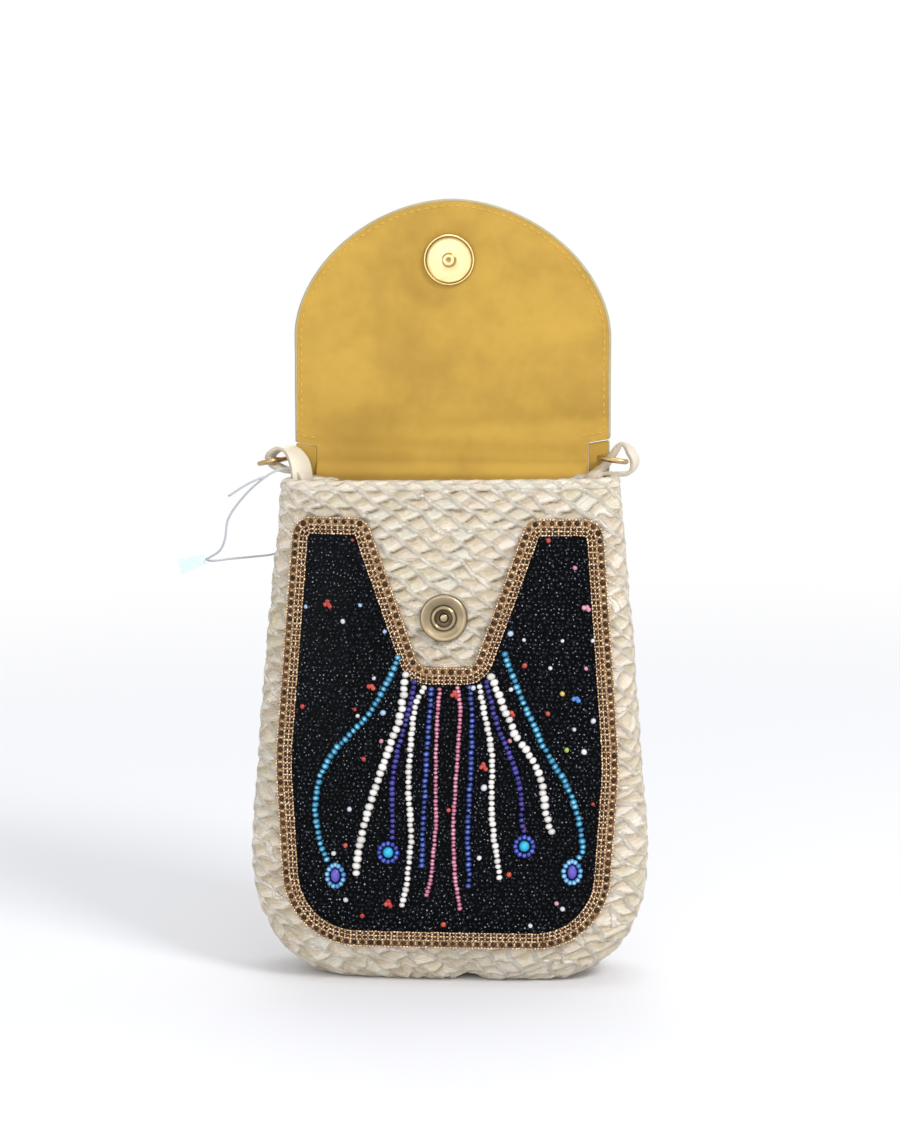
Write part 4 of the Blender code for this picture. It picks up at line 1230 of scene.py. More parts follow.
@dataclass
class BeadField:
    """The black ground: glossy seed beads sewn close, with a few bright ones among them.

    Each accent is a colour, a place across and up in millimetres, and a size as a share.
    """

    black: bpy.types.Material
    palette: dict[str, bpy.types.Material]
    pitch: float = 0.00158
    row: float = 0.00152
    band: float = 0.0064
    bead: float = 0.00074
    lift: float = 0.0031
    split: float = 0.078
    accent: float = 0.00085
    cluster: float = 0.00075
    cluster_from: float = 1.8
    accents: tuple[tuple[str, float, float, float], ...] = (
        ("light_blue", -50.3, 136.2, 1), ("red", -42.4, 137.2, 3), ("light_blue", -30.7, 137.2, 1),
        ("white", -36.9, 131.3, 1.2), ("light_blue", -21.9, 127.9, 1), ("red", -26.7, 108.2, 2),
        ("white", -25.7, 111.2, 1), ("red", -51.5, 100.4, 1.2), ("red", -32.5, 99.9, 1),
        ("white", -31.5, 97.6, 1), ("light_blue", -22.4, 98.9, 1.4), ("pink", -23.0, 88.7, 1.1),
        ("red", -29.3, 82.2, 1.2), ("white", -34.4, 64.0, 1.2), ("red", -35.8, 50.9, 1.2),
        ("white", -40.1, 47.9, 1.2), ("white", -35.7, 31.2, 1.2), ("red", -20.3, 30.0, 3),
        ("red", -29.7, 25.6, 1.2), ("red", -0.5, 23.1, 1.3), ("red", 1.2, 64.3, 1.1),
        ("red", -33.5, 160.3, 0.8), ("red", 36.1, 160.8, 1.2), ("pink", 45.5, 151.1, 1.1),
        ("pink", 49.6, 136.9, 2.4), ("light_blue", 22.9, 127.7, 1.4), ("white", 27.7, 125.5, 0.9),
        ("white", 41.3, 125.2, 0.9), ("white", 52.0, 125.2, 1), ("red", 28.0, 116.4, 1.3),
        ("white", 37.1, 115.5, 1), ("pink", 49.7, 115.3, 1), ("white", 23.2, 107.8, 1.1),
        ("yellow", 41.4, 106.4, 1.2), ("blue", 46.3, 104.5, 1.8), ("red", 36.3, 99.3, 1.2),
        ("red", 23.2, 99.3, 2), ("white", 52.4, 96.6, 1.3), ("white", 45.7, 93.6, 1),
        ("lime", 43.1, 86.3, 1.2), ("white", 49.2, 85.6, 1.4), ("pink", 22.9, 89.5, 1.1),
        ("red", 13.6, 79.9, 2.6), ("white", 13.8, 72.6, 1.6), ("red", 28.3, 58.0, 1),
        ("red", 52.5, 66.8, 0.9), ("white", 12.2, 47.3, 1.2), ("red", 22.9, 41.5, 1.3),
        ("pink", 39.9, 31.2, 1.1), ("white", 42.0, 29.2, 1.2), ("white", 30.6, 23.1, 1.1),
        ("red", 3.2, 105.5, 2.6), ("white", 9.8, 108.2, 1.2))

    def build(self) -> None:
        """Make the ground in two pieces, then the bright beads by colour."""
        random = np.random.default_rng(11)
        rows = np.arange(0.016, 0.166, self.row)
        columns = np.arange(-0.060, 0.060, self.pitch)
        x, height = np.meshgrid(columns, rows)
        x = x + (np.arange(len(rows)) % 2)[:, None] * self.pitch / 2
        x = x.ravel() + uneven(random, x.size, 0.0009)
        height = height.ravel() + uneven(random, height.size, 0.0008)
        spots = np.stack([x, height], 1)[PANEL.contains(x, height, self.band)]
        count = len(spots)
        size = self.bead * (0.85 + 0.35 * random.random(count))
        out = self.lift + uneven(random, count, 0.0006)
        shade = random.random(count)
        turn = random.random(count) * math.pi
        low = spots[:, 1] < self.split
        for name, part in (("ground_beads_low", low), ("ground_beads_high", ~low)):
            places = seats(spots[part], out[part],
                           (size[part], size[part] * 0.9, size[part] * 0.9), turn[part])
            self.ground(name, spots[part], places, shade[part], random)
        for colour, material in self.palette.items():
            self.bright(colour, material, random)

    def ground(self, name: str, spots: np.ndarray, places: np.ndarray, shade: np.ndarray,
               random: np.random.Generator) -> None:
        """Make one piece of the ground, with a painted highlight on one facet of each bead,
        stronger in patches as painted reflection.
        """
        pattern = bead_pattern(8, 6, dome=True)
        piece = stamp(name, pattern, places, shade)
        # Painted highlights, one facet a bead, some bright, stronger in broad patches of painted
        # reflection.
        glint = np.zeros((len(places), len(pattern[0])))
        facet = random.choice(np.flatnonzero(pattern[0][:, 2] > 0.4), len(places))
        bright = random.random(len(places)) ** 2.2
        reflection_patch = soft_noise(spots[:, 0] * 75 + 9, spots[:, 1] * 75, 61)
        glint[np.arange(len(places)), facet] = (0.10 + 0.9 * bright) * (0.3 + 0.9 * reflection_patch)
        carry(piece, "glint", glint.ravel())
        dress(piece, self.black)

    def bright(self, colour: str, material: bpy.types.Material,
               random: np.random.Generator) -> None:
        """Make the bright beads of one colour, a large one as a small spiral cluster."""
        spots, radius = [], []
        for name, x, z, size in self.accents:
            if name != colour:
                continue
            count = 1 if size < self.cluster_from else round(size) + 1
            for number in range(count):
                angle = 0.7 + number * 2.4
                reach = 0.0 if count == 1 else self.cluster * math.sqrt(number + 0.2)
                spots.append((x / 1000 + reach * math.cos(angle),
                              z / 1000 + reach * math.sin(angle) * 0.8))
                radius.append(self.accent * (min(size, 1.6) if count == 1 else 1.15))
        size = np.array(radius)
        places = seats(np.array(spots), 0.0033 + size * 0.35, (size, size * 0.92, size * 0.9),
                       random.random(len(spots)) * 3)
        dress(stamp(f"accents_{colour}", bead_pattern(12, 8, dome=True), places,
                    random.random(len(spots))), material)


@dataclass(frozen=True)
class Strand:
    """One strand of the fan: its colour, its side, its bead and its line, in millimetres."""

    colour: str
    side: str
    bead: float
    line: tuple[tuple[float, float], ...]


STRANDS = (
    Strand("turquoise", "left", 2.6, (
        (-17.0, 118.5), (-20.6, 110.4), (-25.4, 101.5), (-31.5, 93.6), (-38.8, 86.3),
        (-43.6, 78.9), (-46.2, 70.4), (-46.6, 61.9), (-44.9, 52.1), (-42.5, 45.6))),
    Strand("outer_white", "left", 3.0, (
        (-14.3, 112.5), (-15.1, 105.8), (-16.3, 97.2), (-19.3, 88.7), (-22.3, 80.2),
        (-25.3, 71.6), (-27.7, 63.1), (-29.9, 54.6), (-31.3, 47.9), (-32.1, 41.4))),
    Strand("violet", "left", 2.4, (
        (-11.5, 110.0), (-12.3, 103.3), (-14.5, 94.8), (-16.9, 86.3), (-18.7, 76.5),
        (-19.0, 66.8), (-18.9, 59.4), (-19.0, 54.4))),
    Strand("inner_white", "left", 2.4, (
        (-7.8, 108.2), (-10.6, 102.1), (-11.8, 94.8), (-12.6, 85.0), (-13.2, 75.3),
        (-12.8, 64.3), (-12.2, 54.6), (-13.0, 44.8), (-14.0, 36.3), (-15.4, 30.0))),
    Strand("blue", "left", 2.4, (
        (-5.0, 107.6), (-5.7, 98.4), (-6.4, 88.7), (-6.9, 78.9), (-7.4, 69.2), (-7.9, 58.2),
        (-8.1, 49.7), (-8.2, 44.2))),
    Strand("pink", "left", 1.8, (
        (-2.1, 107.6), (-2.9, 98.4), (-3.3, 88.7), (-3.5, 78.9), (-3.4, 69.2), (-3.4, 58.2),
        (-4.2, 48.5), (-5.0, 40.0), (-6.5, 33.6))),
    Strand("pink", "right", 1.8, (
        (4.3, 108.2), (5.2, 100.9), (4.8, 91.1), (4.1, 81.4), (3.6, 71.6), (2.9, 60.7),
        (3.0, 50.9), (3.6, 41.2), (5.3, 29.0))),
    Strand("blue", "right", 2.4, (
        (8.6, 108.2), (9.3, 100.9), (9.4, 91.1), (9.2, 81.4), (8.7, 71.6), (8.3, 61.9),
        (8.1, 52.1), (8.6, 43.6), (8.6, 37.5))),
    Strand("inner_white", "right", 2.4, (
        (12.0, 108.8), (13.5, 100.9), (15.3, 92.3), (16.6, 83.8), (16.5, 74.1), (16.5, 64.3),
        (17.3, 55.8), (18.3, 48.5), (19.6, 40.6))),
    Strand("violet", "right", 2.4, (
        (14.4, 110.6), (16.5, 102.1), (19.0, 93.6), (22.7, 85.0), (25.7, 76.5), (27.2, 69.2),
        (27.3, 61.9), (28.0, 57.4))),
    Strand("outer_white", "right", 3.0, (
        (16.1, 112.5), (18.9, 105.8), (22.0, 98.4), (25.7, 90.5), (30.6, 83.8), (33.6, 77.7),
        (35.1, 70.4), (36.1, 63.1), (38.0, 57.0))),
    Strand("turquoise", "right", 2.6, (
        (20.9, 120.4), (23.5, 113.1), (26.8, 105.1), (31.5, 94.8), (37.3, 83.2), (42.8, 74.7),
        (46.2, 66.1), (48.1, 58.2), (49.0, 50.9), (48.0, 47.8))),
)


@dataclass
class StrandFan:
    """The strands that fan down from the notch, and the drops at the ends of four of them.

    Each drop is its strand and side, then its middle and half its width and height in millimetres.
    """

    palette: dict[str, bpy.types.Material]
    seat: float = 0.0034
    spacing: float = 1.56
    sunk_from: tuple[float, float] = (0.098, 0.108)
    drop_bead: float = 0.00102
    drops: tuple[tuple[str, str, float, float, float, float], ...] = (
        ("turquoise", "left", -39.4, 40.0, 3.0, 3.9), ("turquoise", "right", 45.3, 42.6, 3.0, 3.9),
        ("violet", "left", -20.4, 48.8, 3.2, 3.3), ("violet", "right", 28.3, 51.8, 3.2, 3.3))

    def build(self) -> None:
        """Make every strand, then the drops."""
        random = np.random.default_rng(23)
        for strand in STRANDS:
            self.strand(random, strand)
        for drop in self.drops:
            self.drop(random, *drop)

    def strand(self, random: np.random.Generator, strand: Strand) -> None:
        """Make one strand, its top beads sunk under the border."""
        fine = smooth_path(strand.line, 200) / 1000
        radius = strand.bead / 2000
        line = resample(fine, max(4, round(run_along(fine)[-1] / (radius * self.spacing))))
        count = len(line)
        along = np.gradient(line, axis=0)
        turn = np.arctan2(along[:, 1], along[:, 0]) + uneven(random, count, 0.4)
        line = line + uneven(random, line.shape, radius * 0.35)
        size = radius * (0.88 + 0.24 * random.random(count))
        sunk = 0.50 * smoothstep(*self.sunk_from, line[:, 1])
        places = seats(line, self.seat + size * (0.55 - sunk),
                       (size * 0.84, size, size * (0.95 - 0.3 * sunk)), turn)
        piece = stamp(f"beads_{strand.colour}_{strand.side}", bead_pattern(14, 10, dome=True),
                      places, random.random(count))
        dress(piece, self.palette[strand.colour],
              replaced=[f"strand_{strand.colour}_{strand.side}"])

    def drop(self, random: np.random.Generator, kind: str, side: str, x: float, z: float,
             wide: float, high: float) -> None:
        """Make a ring of beads round a glossy centre, pointed at the top where it is a tear."""
        tear = kind == "turquoise"
        count = 13 if tear else 12
        angle = np.arange(count) * math.tau / count + math.pi / 2
        narrow = 1 - 0.28 * np.clip(np.sin(angle), 0, 1) ** 2 if tear else 1.0
        spots = np.stack([x + wide * np.cos(angle) * narrow, z + high * np.sin(angle)], 1) / 1000
        size = self.drop_bead
        ring = stamp(f"drop_ring_{kind}_{side}", bead_pattern(12, 8, dome=True),
                     seats(spots, 0.0041, (size, size, size * 0.95), angle), random.random(count))
        dress(ring, self.palette["drop_light" if tear else "drop_royal"],
              replaced=[f"rosette_{kind}_{side}"])
        centre = seats(np.array([(x, z)]) / 1000, 0.0036,
                       ((wide - 1.15) / 1000, (high - 1.15) / 1000, 0.0019))
        stone = stamp(f"drop_stone_{kind}_{side}", bead_pattern(28, 20, dome=True), centre,
                      np.array([0.3]))
        dress(stone, self.palette["stone_purple" if tear else "stone_turquoise"],
              replaced=[f"cabochon_{kind}_{side}"])


# ------------------------------------------------------------------------ the flap


@dataclass
class Flap:
    """The soft flap: cloth inside, braid outside, a rolled edge, stitches and its snap.

    A fold is the pair of heights that one of the flap's folds spans. A rim is how far back it lies
    and how deep it is for its width. The stud's profile is in millimetres, with its patina.
    """

    straw: bpy.types.Material
    cloth: bpy.types.Material
    rim: bpy.types.Material
    stitch: bpy.types.Material
    metal: bpy.types.Material
    plait: Plait = Plait(relief=0.0009, seed=41)
    inset: float = 0.0006
    drape: float = 0.0100
    forward: float = 0.0024
    root_fold: tuple[float, float] = (0.1785, 0.1895)
    front_fold: tuple[float, float] = (FLAP.hinge_z + 0.0195, FLAP.hinge_z + 0.0345)
    notch_rim: tuple[float, float] = (0.0014, 1.6)
    full_rim: tuple[float, float] = (0.00105, 2.05)
    rim_radius: float = 0.00062
    shoulder_low: float = -0.0050
    shoulder_depth: float = 0.0018
    shoulder_hem: float = 0.0012
    stitch_inset: float = 0.0024
    stitch_pitch: float = 0.0028
    stitch_start: float = 0.009
    stitch_size: tuple[float, float, float] = (0.00095, 0.00027, 0.00024)
    stud: tuple[Point, ...] = (
        (0, -0.9, 0), (8.9, -0.9, 0.8), (9.2, 0.3, 0.7), (9.25, 0.9, 0.45), (9.1, 1.3, 0.15),
        (8.85, 1.5, 0), (8.6, 1.5, 0), (8.4, 1.3, 0.35), (8.2, 0.9, 0.75), (7.8, 0.75, 0.35),
        (7.0, 0.8, 0.05), (5.0, 0.8, 0), (3.0, 0.8, 0.05), (2.4, 0.9, 0.5), (2.0, 1.2, 0.7),
        (1.9, 2.2, 0.4), (2.1, 2.8, 0.1), (1.9, 3.1, 0), (1.4, 3.2, 0.05), (0.8, 3.1, 0.5),
        (0.4, 2.9, 0.6), (0, 2.8, 0.6))

    def bend(self, piece: bpy.types.Object, upper: bool) -> None:
        """Bake a piece's place into its mesh."""
        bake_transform(piece)

    def sheet(self, name: str, upper: bool, outer: bool) -> bpy.types.Object:
        """Make one half of the cloth or of the braid."""
        start = FLAP.split if upper else -0.0030 if outer else -self.drape
        stop = FLAP.length - self.inset if upper else FLAP.split
        columns = 200 if outer else 120
        rows = (170 if upper else 36) if outer else (110 if upper else 40)
        inset = self.inset if upper or outer else 0.0

        def spread(along: np.ndarray, up: np.ndarray) -> tuple[np.ndarray, np.ndarray]:
            """Return x and the distance from the root."""
            share = 1 - (1 - up) ** 1.35 if upper else up
            reach = start + (stop - start) * share
            side = along * 2 - 1
            return side * FLAP.half(reach, side, inset), reach

        def shape(along: np.ndarray, up: np.ndarray) -> np.ndarray:
            """Return the sheet's points."""
            x, reach = spread(along, up)
            y = FLAP.hinge_y + FLAP.crease(x, reach)
            if not outer:
                y = y - self.forward * (1 - smoothstep(-0.0012, 0.0040, reach))
            else:
                raised = self.braid(x, reach)["height"] * self.plait.relief
                rim = np.minimum(FLAP.half(reach, x) - np.abs(x), FLAP.length - reach)
                y = y + FLAP.thickness - 0.0005 + raised * smoothstep(0.0002, 0.002, rim)
            return np.stack([x, y, FLAP.hinge_z + reach], 1)

        def carried(along: np.ndarray, up: np.ndarray) -> Numbers:
            """Return the numbers that the straw's finish reads."""
            return straw_numbers(self.braid(*spread(along, up)))

        piece = skin(name, columns, rows, shape, carried=carried if outer else None)
        if outer:
            flip(piece)
        return piece

    def braid(self, x: np.ndarray, reach: np.ndarray) -> Numbers:
        """Return the braid's numbers at places on the flap."""
        return self.plait.field(x / self.plait.pitch + 20, reach / self.plait.row + 8)

    def rims(self) -> None:
        """Roll the edge over, in a left and a right piece at the root and one round the tip."""
        line = FLAP.edge(0.0005, 700)
        turn = np.flatnonzero(line[:, 1] > FLAP.split)
        wide = np.flatnonzero(np.abs(line[:, 0]) > FLAP.half_full - 0.0012)
        runs = (("flap_notch_left", slice(0, wide[0] + 1), self.notch_rim),
                ("flap_rim_root_left", slice(wide[0], turn[0] + 1), self.full_rim),
                ("flap_rim_tip", slice(turn[0], turn[-1] + 1), self.full_rim),
                ("flap_rim_root_right", slice(turn[-1], wide[-1] + 1), self.full_rim),
                ("flap_notch_right", slice(wide[-1], None), self.notch_rim))
        for name, run, (back, flat) in runs:
            x, reach = line[run].T
            path = np.stack([x, FLAP.hinge_y + back + FLAP.crease(x, reach),
                             FLAP.hinge_z + reach], 1)
            self.hem(name, path, self.rim_radius, flat)

    def hem(self, name: str, path: np.ndarray, radius: float, flat: float) -> None:
        """Draw a rolled edge that is deeper than it is wide, riding where its name says."""
        ups = np.tile((0.0, 1.0, 0.0), (len(path), 1))
        piece = tube(name, path, radius, 10, ups=ups, flat=flat)
        on_flap = name.startswith("flap")
        dress(piece, self.rim, body=None if on_flap else BODY)
        if on_flap:
            self.bend(piece, name == "flap_rim_tip")
        else:
            self.flatten(piece)

    def shoulder(self, side: Side, back: float) -> None:
        """Stand a short lined shoulder on the back rim beside the flap's root.

        Args:
            side: The side that it stands on.
            back: How far behind the flap's cloth it stands, to leave the ring room.
        """
        name = side.name.lower()
        root = FLAP.root_left if side is Side.LEFT else FLAP.root_right
        inner, outer = FLAP.half_root + 0.0002, FLAP.half_full - self.inset
        start = -outer if side is Side.LEFT else inner
        low, thick = self.shoulder_low, self.shoulder_depth
        front = FLAP.hinge_y + back
        reaches = np.linspace(root, root + FLAP.shoulder, 40)
        halves = FLAP.half(reaches, np.full(40, side.value))

        def top(x: np.ndarray) -> np.ndarray:
            """Return how high the shoulder's back may stand under the flap as the flap swings."""
            notch = np.interp(np.abs(x), halves, reaches)
            return np.sqrt(notch ** 2 - (back + thick) ** 2)

        def spread(along: np.ndarray, up: np.ndarray) -> tuple[np.ndarray, np.ndarray]:
            """Return x and the distance above the hinge."""
            x = start + (outer - inner) * along
            return x, low + (top(x) - low) * up

        def carried(along: np.ndarray, up: np.ndarray) -> Numbers:
            """Return the numbers that the straw's finish reads."""
            return straw_numbers(self.braid(*spread(along, up)))

        for kind, depth, finish in (("lining", 0.0, self.cloth), ("straw", thick, self.straw)):
            def shape(along: np.ndarray, up: np.ndarray, depth: float = depth) -> np.ndarray:
                """Return the sheet's points."""
                x, reach = spread(along, up)
                return np.stack([x, np.full(len(x), front + depth), FLAP.hinge_z + reach], 1)

            piece = skin(f"shoulder_{kind}_{name}", 20, 30, shape, carried=carried)
            if depth:
                flip(piece)
            dress(piece, finish)
            self.flatten(piece)
        over = [(x, float(top(np.array(x))) - 0.0004)
                for x in np.linspace(inner + 0.0004, outer, 12)]
        for kind, corners, behind, flat in (
                ("edge", [(outer, low), over[-1]], 0.0009, 2.4),
                ("hem", [(inner + 0.0004, low)] + over, self.shoulder_hem, 1.6)):
            path = resample(np.array([(side.value * x, front + behind, FLAP.hinge_z + reach)
                                      for x, reach in corners]), 24)
            self.hem(f"shoulder_{kind}_{name}", path, 0.0004, flat)

    def flatten(self, piece: bpy.types.Object) -> None:
        """Give a piece a mesh of its own."""
        FLAP.hinge_z + self.shoulder_low
        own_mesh(piece)

    def stitches(self) -> None:
        """Sew a row of short stitches just inside the edge."""
        line = FLAP.edge(self.stitch_inset, 1600)
        run = run_along(line)
        spots = np.arange(self.stitch_start, run[-1] - self.stitch_start, self.stitch_pitch)
        x, reach = (np.interp(spots, run, line[:, axis]) for axis in (0, 1))
        inside = ((np.abs(x) < FLAP.half_full - 0.0022) & (reach > FLAP.root_right + 0.0010))
        spots, x, reach = spots[inside], x[inside], reach[inside]
        ahead = [np.interp(spots + 0.0004, run, line[:, axis]) for axis in (0, 1)]
        turn = np.arctan2(ahead[1] - reach, ahead[0] - x)
        long, wide, thick = self.stitch_size
        places = np.zeros((len(x), 4, 4))
        places[:, 0, 0], places[:, 2, 0] = np.cos(turn) * long, np.sin(turn) * long
        places[:, 0, 1], places[:, 2, 1] = -np.sin(turn) * wide, np.cos(turn) * wide
        places[:, 1, 2] = -thick
        places[:, :3, 3] = np.stack([x, FLAP.hinge_y + FLAP.crease(x, reach) - 0.00004,
                                     FLAP.hinge_z + reach], 1)
        places[:, 3, 3] = 1
        pattern = bead_pattern(8, 6, dome=False)
        for name, part, upper in (("flap_stitches_root", reach < FLAP.split, False),
                                  ("flap_stitches_tip", reach >= FLAP.split, True)):
            piece = stamp(name, pattern, places[part], np.linspace(0, 1, part.sum()))
            dress(piece, self.stitch, body=None)
            self.bend(piece, upper)

    def build(self) -> None:
        """Make the sheets, the rolled edge, the stitches and the snap's plate."""
        sheets = (("lining", False, self.cloth), ("straw", True, self.straw))
        for end, half, upper in (("root", "bridge", False), ("tip", "tongue", True)):
            for kind, outer, finish in sheets:
                piece = self.sheet(f"flap_{kind}_{end}", upper, outer)
                dress(piece, finish, body=None, replaced=[f"flap_{half}_{kind}"])
                self.bend(piece, upper)
        self.rims()
        self.shoulder(Side.LEFT, 0.0001)
        self.shoulder(Side.RIGHT, 0.0016)
        self.stitches()
        place = (Matrix.Translation((SNAP_X, FLAP.hinge_y, FLAP.hinge_z + SNAP_REACH))
                 @ Matrix.Rotation(math.radians(90), 4, "X"))
        dress(turned("flap_snap", self.stud, place), self.metal, "flap_tongue",
              ["flap_snap_plate"])


@dataclass
class BodySnap:
    """The socket half of the snap: a dished cap with a ring round its hole.

    The cap's profile is in millimetres, with its patina.
    """

    metal: bpy.types.Material
    cap: tuple[Point, ...] = (
        (7.8, 0.8, 0.6), (8.5, 0.9, 0.6), (8.55, 2.2, 0.5), (8.4, 2.9, 0.2), (8.0, 3.3, 0),
        (7.5, 3.4, 0), (7.0, 3.2, 0.05), (6.2, 2.8, 0.15), (5.2, 2.5, 0.3), (4.6, 2.5, 0.7),
        (4.4, 2.9, 0.3), (4.1, 3.3, -0.6), (3.7, 3.4, -0.8), (3.3, 3.2, -0.5), (3.1, 2.7, 0.5),
        (3.05, 1.4, 0.7), (1.8, 1.3, 0.6), (1.6, 1.6, 0.5), (1.2, 2.0, -0.2), (0.7, 2.1, -0.5),
        (0.0, 2.1, -0.5))

    def build(self) -> None:
        """Turn the cap and set it on the front."""
        point, right, up, outward = (found[0] for found in FORM.on_front(
            np.array([SNAP_X]), np.array([SNAP_Z]), 0.0))
        place = Matrix.Translation(point) @ Matrix((right, up, outward)).transposed().to_4x4()
        dress(turned("body_snap", self.cap, place, 80, 40), self.metal, BODY,
              ["body_snap_cap"])


# ------------------------------------------------------------ tabs, rings and tag


def from_mouth_end(side: Side, offsets: Sequence[Point]) -> np.ndarray:
    """Return points from millimetres out from the mouth's end, back from its middle and up."""
    out, back, up = np.array(offsets, float).T / 1000
    return np.stack([side.value * (FORM.half_mouth + out), back, BINDING_TOP + up], 1)


@dataclass
class RingTab:
    """A leather tab looped through its D-ring at one end of the mouth.

    The route is in millimetres from the mouth's end. At each of its points the facing is how far
    the band is turned, in degrees, and the band is its width in millimetres.
    """

    side: Side
    leather: bpy.types.Material
    metal: bpy.types.Material
    route: tuple[Point, ...]
    facing: tuple[float, ...]
    band: tuple[float, ...]
    ring_spot: Point
    droop: float
    width: float = 0.0056
    thickness: float = 0.0015
    corner: float = 0.00045
    wire: float = 0.0020
    reach: float = 0.0082
    clearance: float = 0.0020

    def strap(self, name: str) -> None:
        """Make the strip, its edges rounded and its width turning along the route."""
        knots = from_mouth_end(self.side, self.route)
        path = smooth_path(knots, 130)
        along = unit(np.gradient(path, axis=0))
        run = run_along(knots)
        spots = np.linspace(0, run[-1], len(path))
        angle = np.radians(np.interp(spots, run, self.facing))
        wide = across_to(np.stack([np.sin(angle), np.cos(angle), np.zeros(len(path))], 1), along)
        thick = np.cross(along, wide)
        half = np.interp(spots, run, self.band)[:, None] / 2000
        flat = self.thickness / 2 - self.corner
        section = []
        for across, up in ((1, 1), (-1, 1), (-1, -1), (1, -1)):
            for turn in (0.1, 0.8, 1.47)[::across * up]:
                section.append((across, -across * self.corner * (1 - math.cos(turn)),
                                up * (flat + self.corner * math.sin(turn)), float(turn < 1)))
        outline = np.array(section)
        count, rows = len(outline), len(path) - 1

        def shape(round_share: np.ndarray, run: np.ndarray) -> np.ndarray:
            """Return the strip's points."""
            ring = np.rint(run * rows).astype(int)
            spot = np.rint(round_share * count).astype(int) % count
            across = outline[spot, :1] * half[ring] + outline[spot, 1:2]
            return path[ring] + wide[ring] * across + thick[ring] * outline[spot, 2:3]

        def carried(round_share: np.ndarray, run: np.ndarray) -> Numbers:
            """Return how brown each point is."""
            return {"edge": outline[np.rint(round_share * count).astype(int) % count, 3]}

        piece = skin(name, count, rows, shape, merged=True, outwards=True, carried=carried)
        dress(piece, self.leather, replaced=[name])

    def ring(self, name: str, body: str) -> None:
        """Bend the D-ring's wire: a straight bar and a bow."""
        half = self.width / 2 + self.clearance + self.wire / 2
        corner = self.wire * 0.9
        bends = [(corner - corner * math.cos(angle), half - corner + corner * math.sin(angle))
                 for angle in np.linspace(0, math.pi / 2, 9)[1:]]
        flat = [(0.0, y) for y in np.linspace(-half + corner, half - corner, 12)] + bends
        flat += [(corner + (self.reach - corner) * math.sin(angle), half * math.cos(angle))
                 for angle in np.linspace(0, math.pi, 50)[1:-1]]
        flat += [(x, -y) for x, y in bends[::-1]]
        upright = Vector((0, 0, 1))
        bar = Vector((-self.side.value * 0.40, 0.90, 0.0)).normalized()
        out = upright.cross(bar) * math.cos(self.droop) - upright * math.sin(self.droop)
        centre = Vector(from_mouth_end(self.side, [self.ring_spot])[0])
        loop = np.array([centre + out * x + bar * y for x, y in flat])
        loop = resample(np.vstack([loop, loop[:1]]), 97)[:-1]
        piece = tube(name + "_wire", loop, self.wire / 2, 12, closed=True)
        dress(piece, self.metal, body, [name])


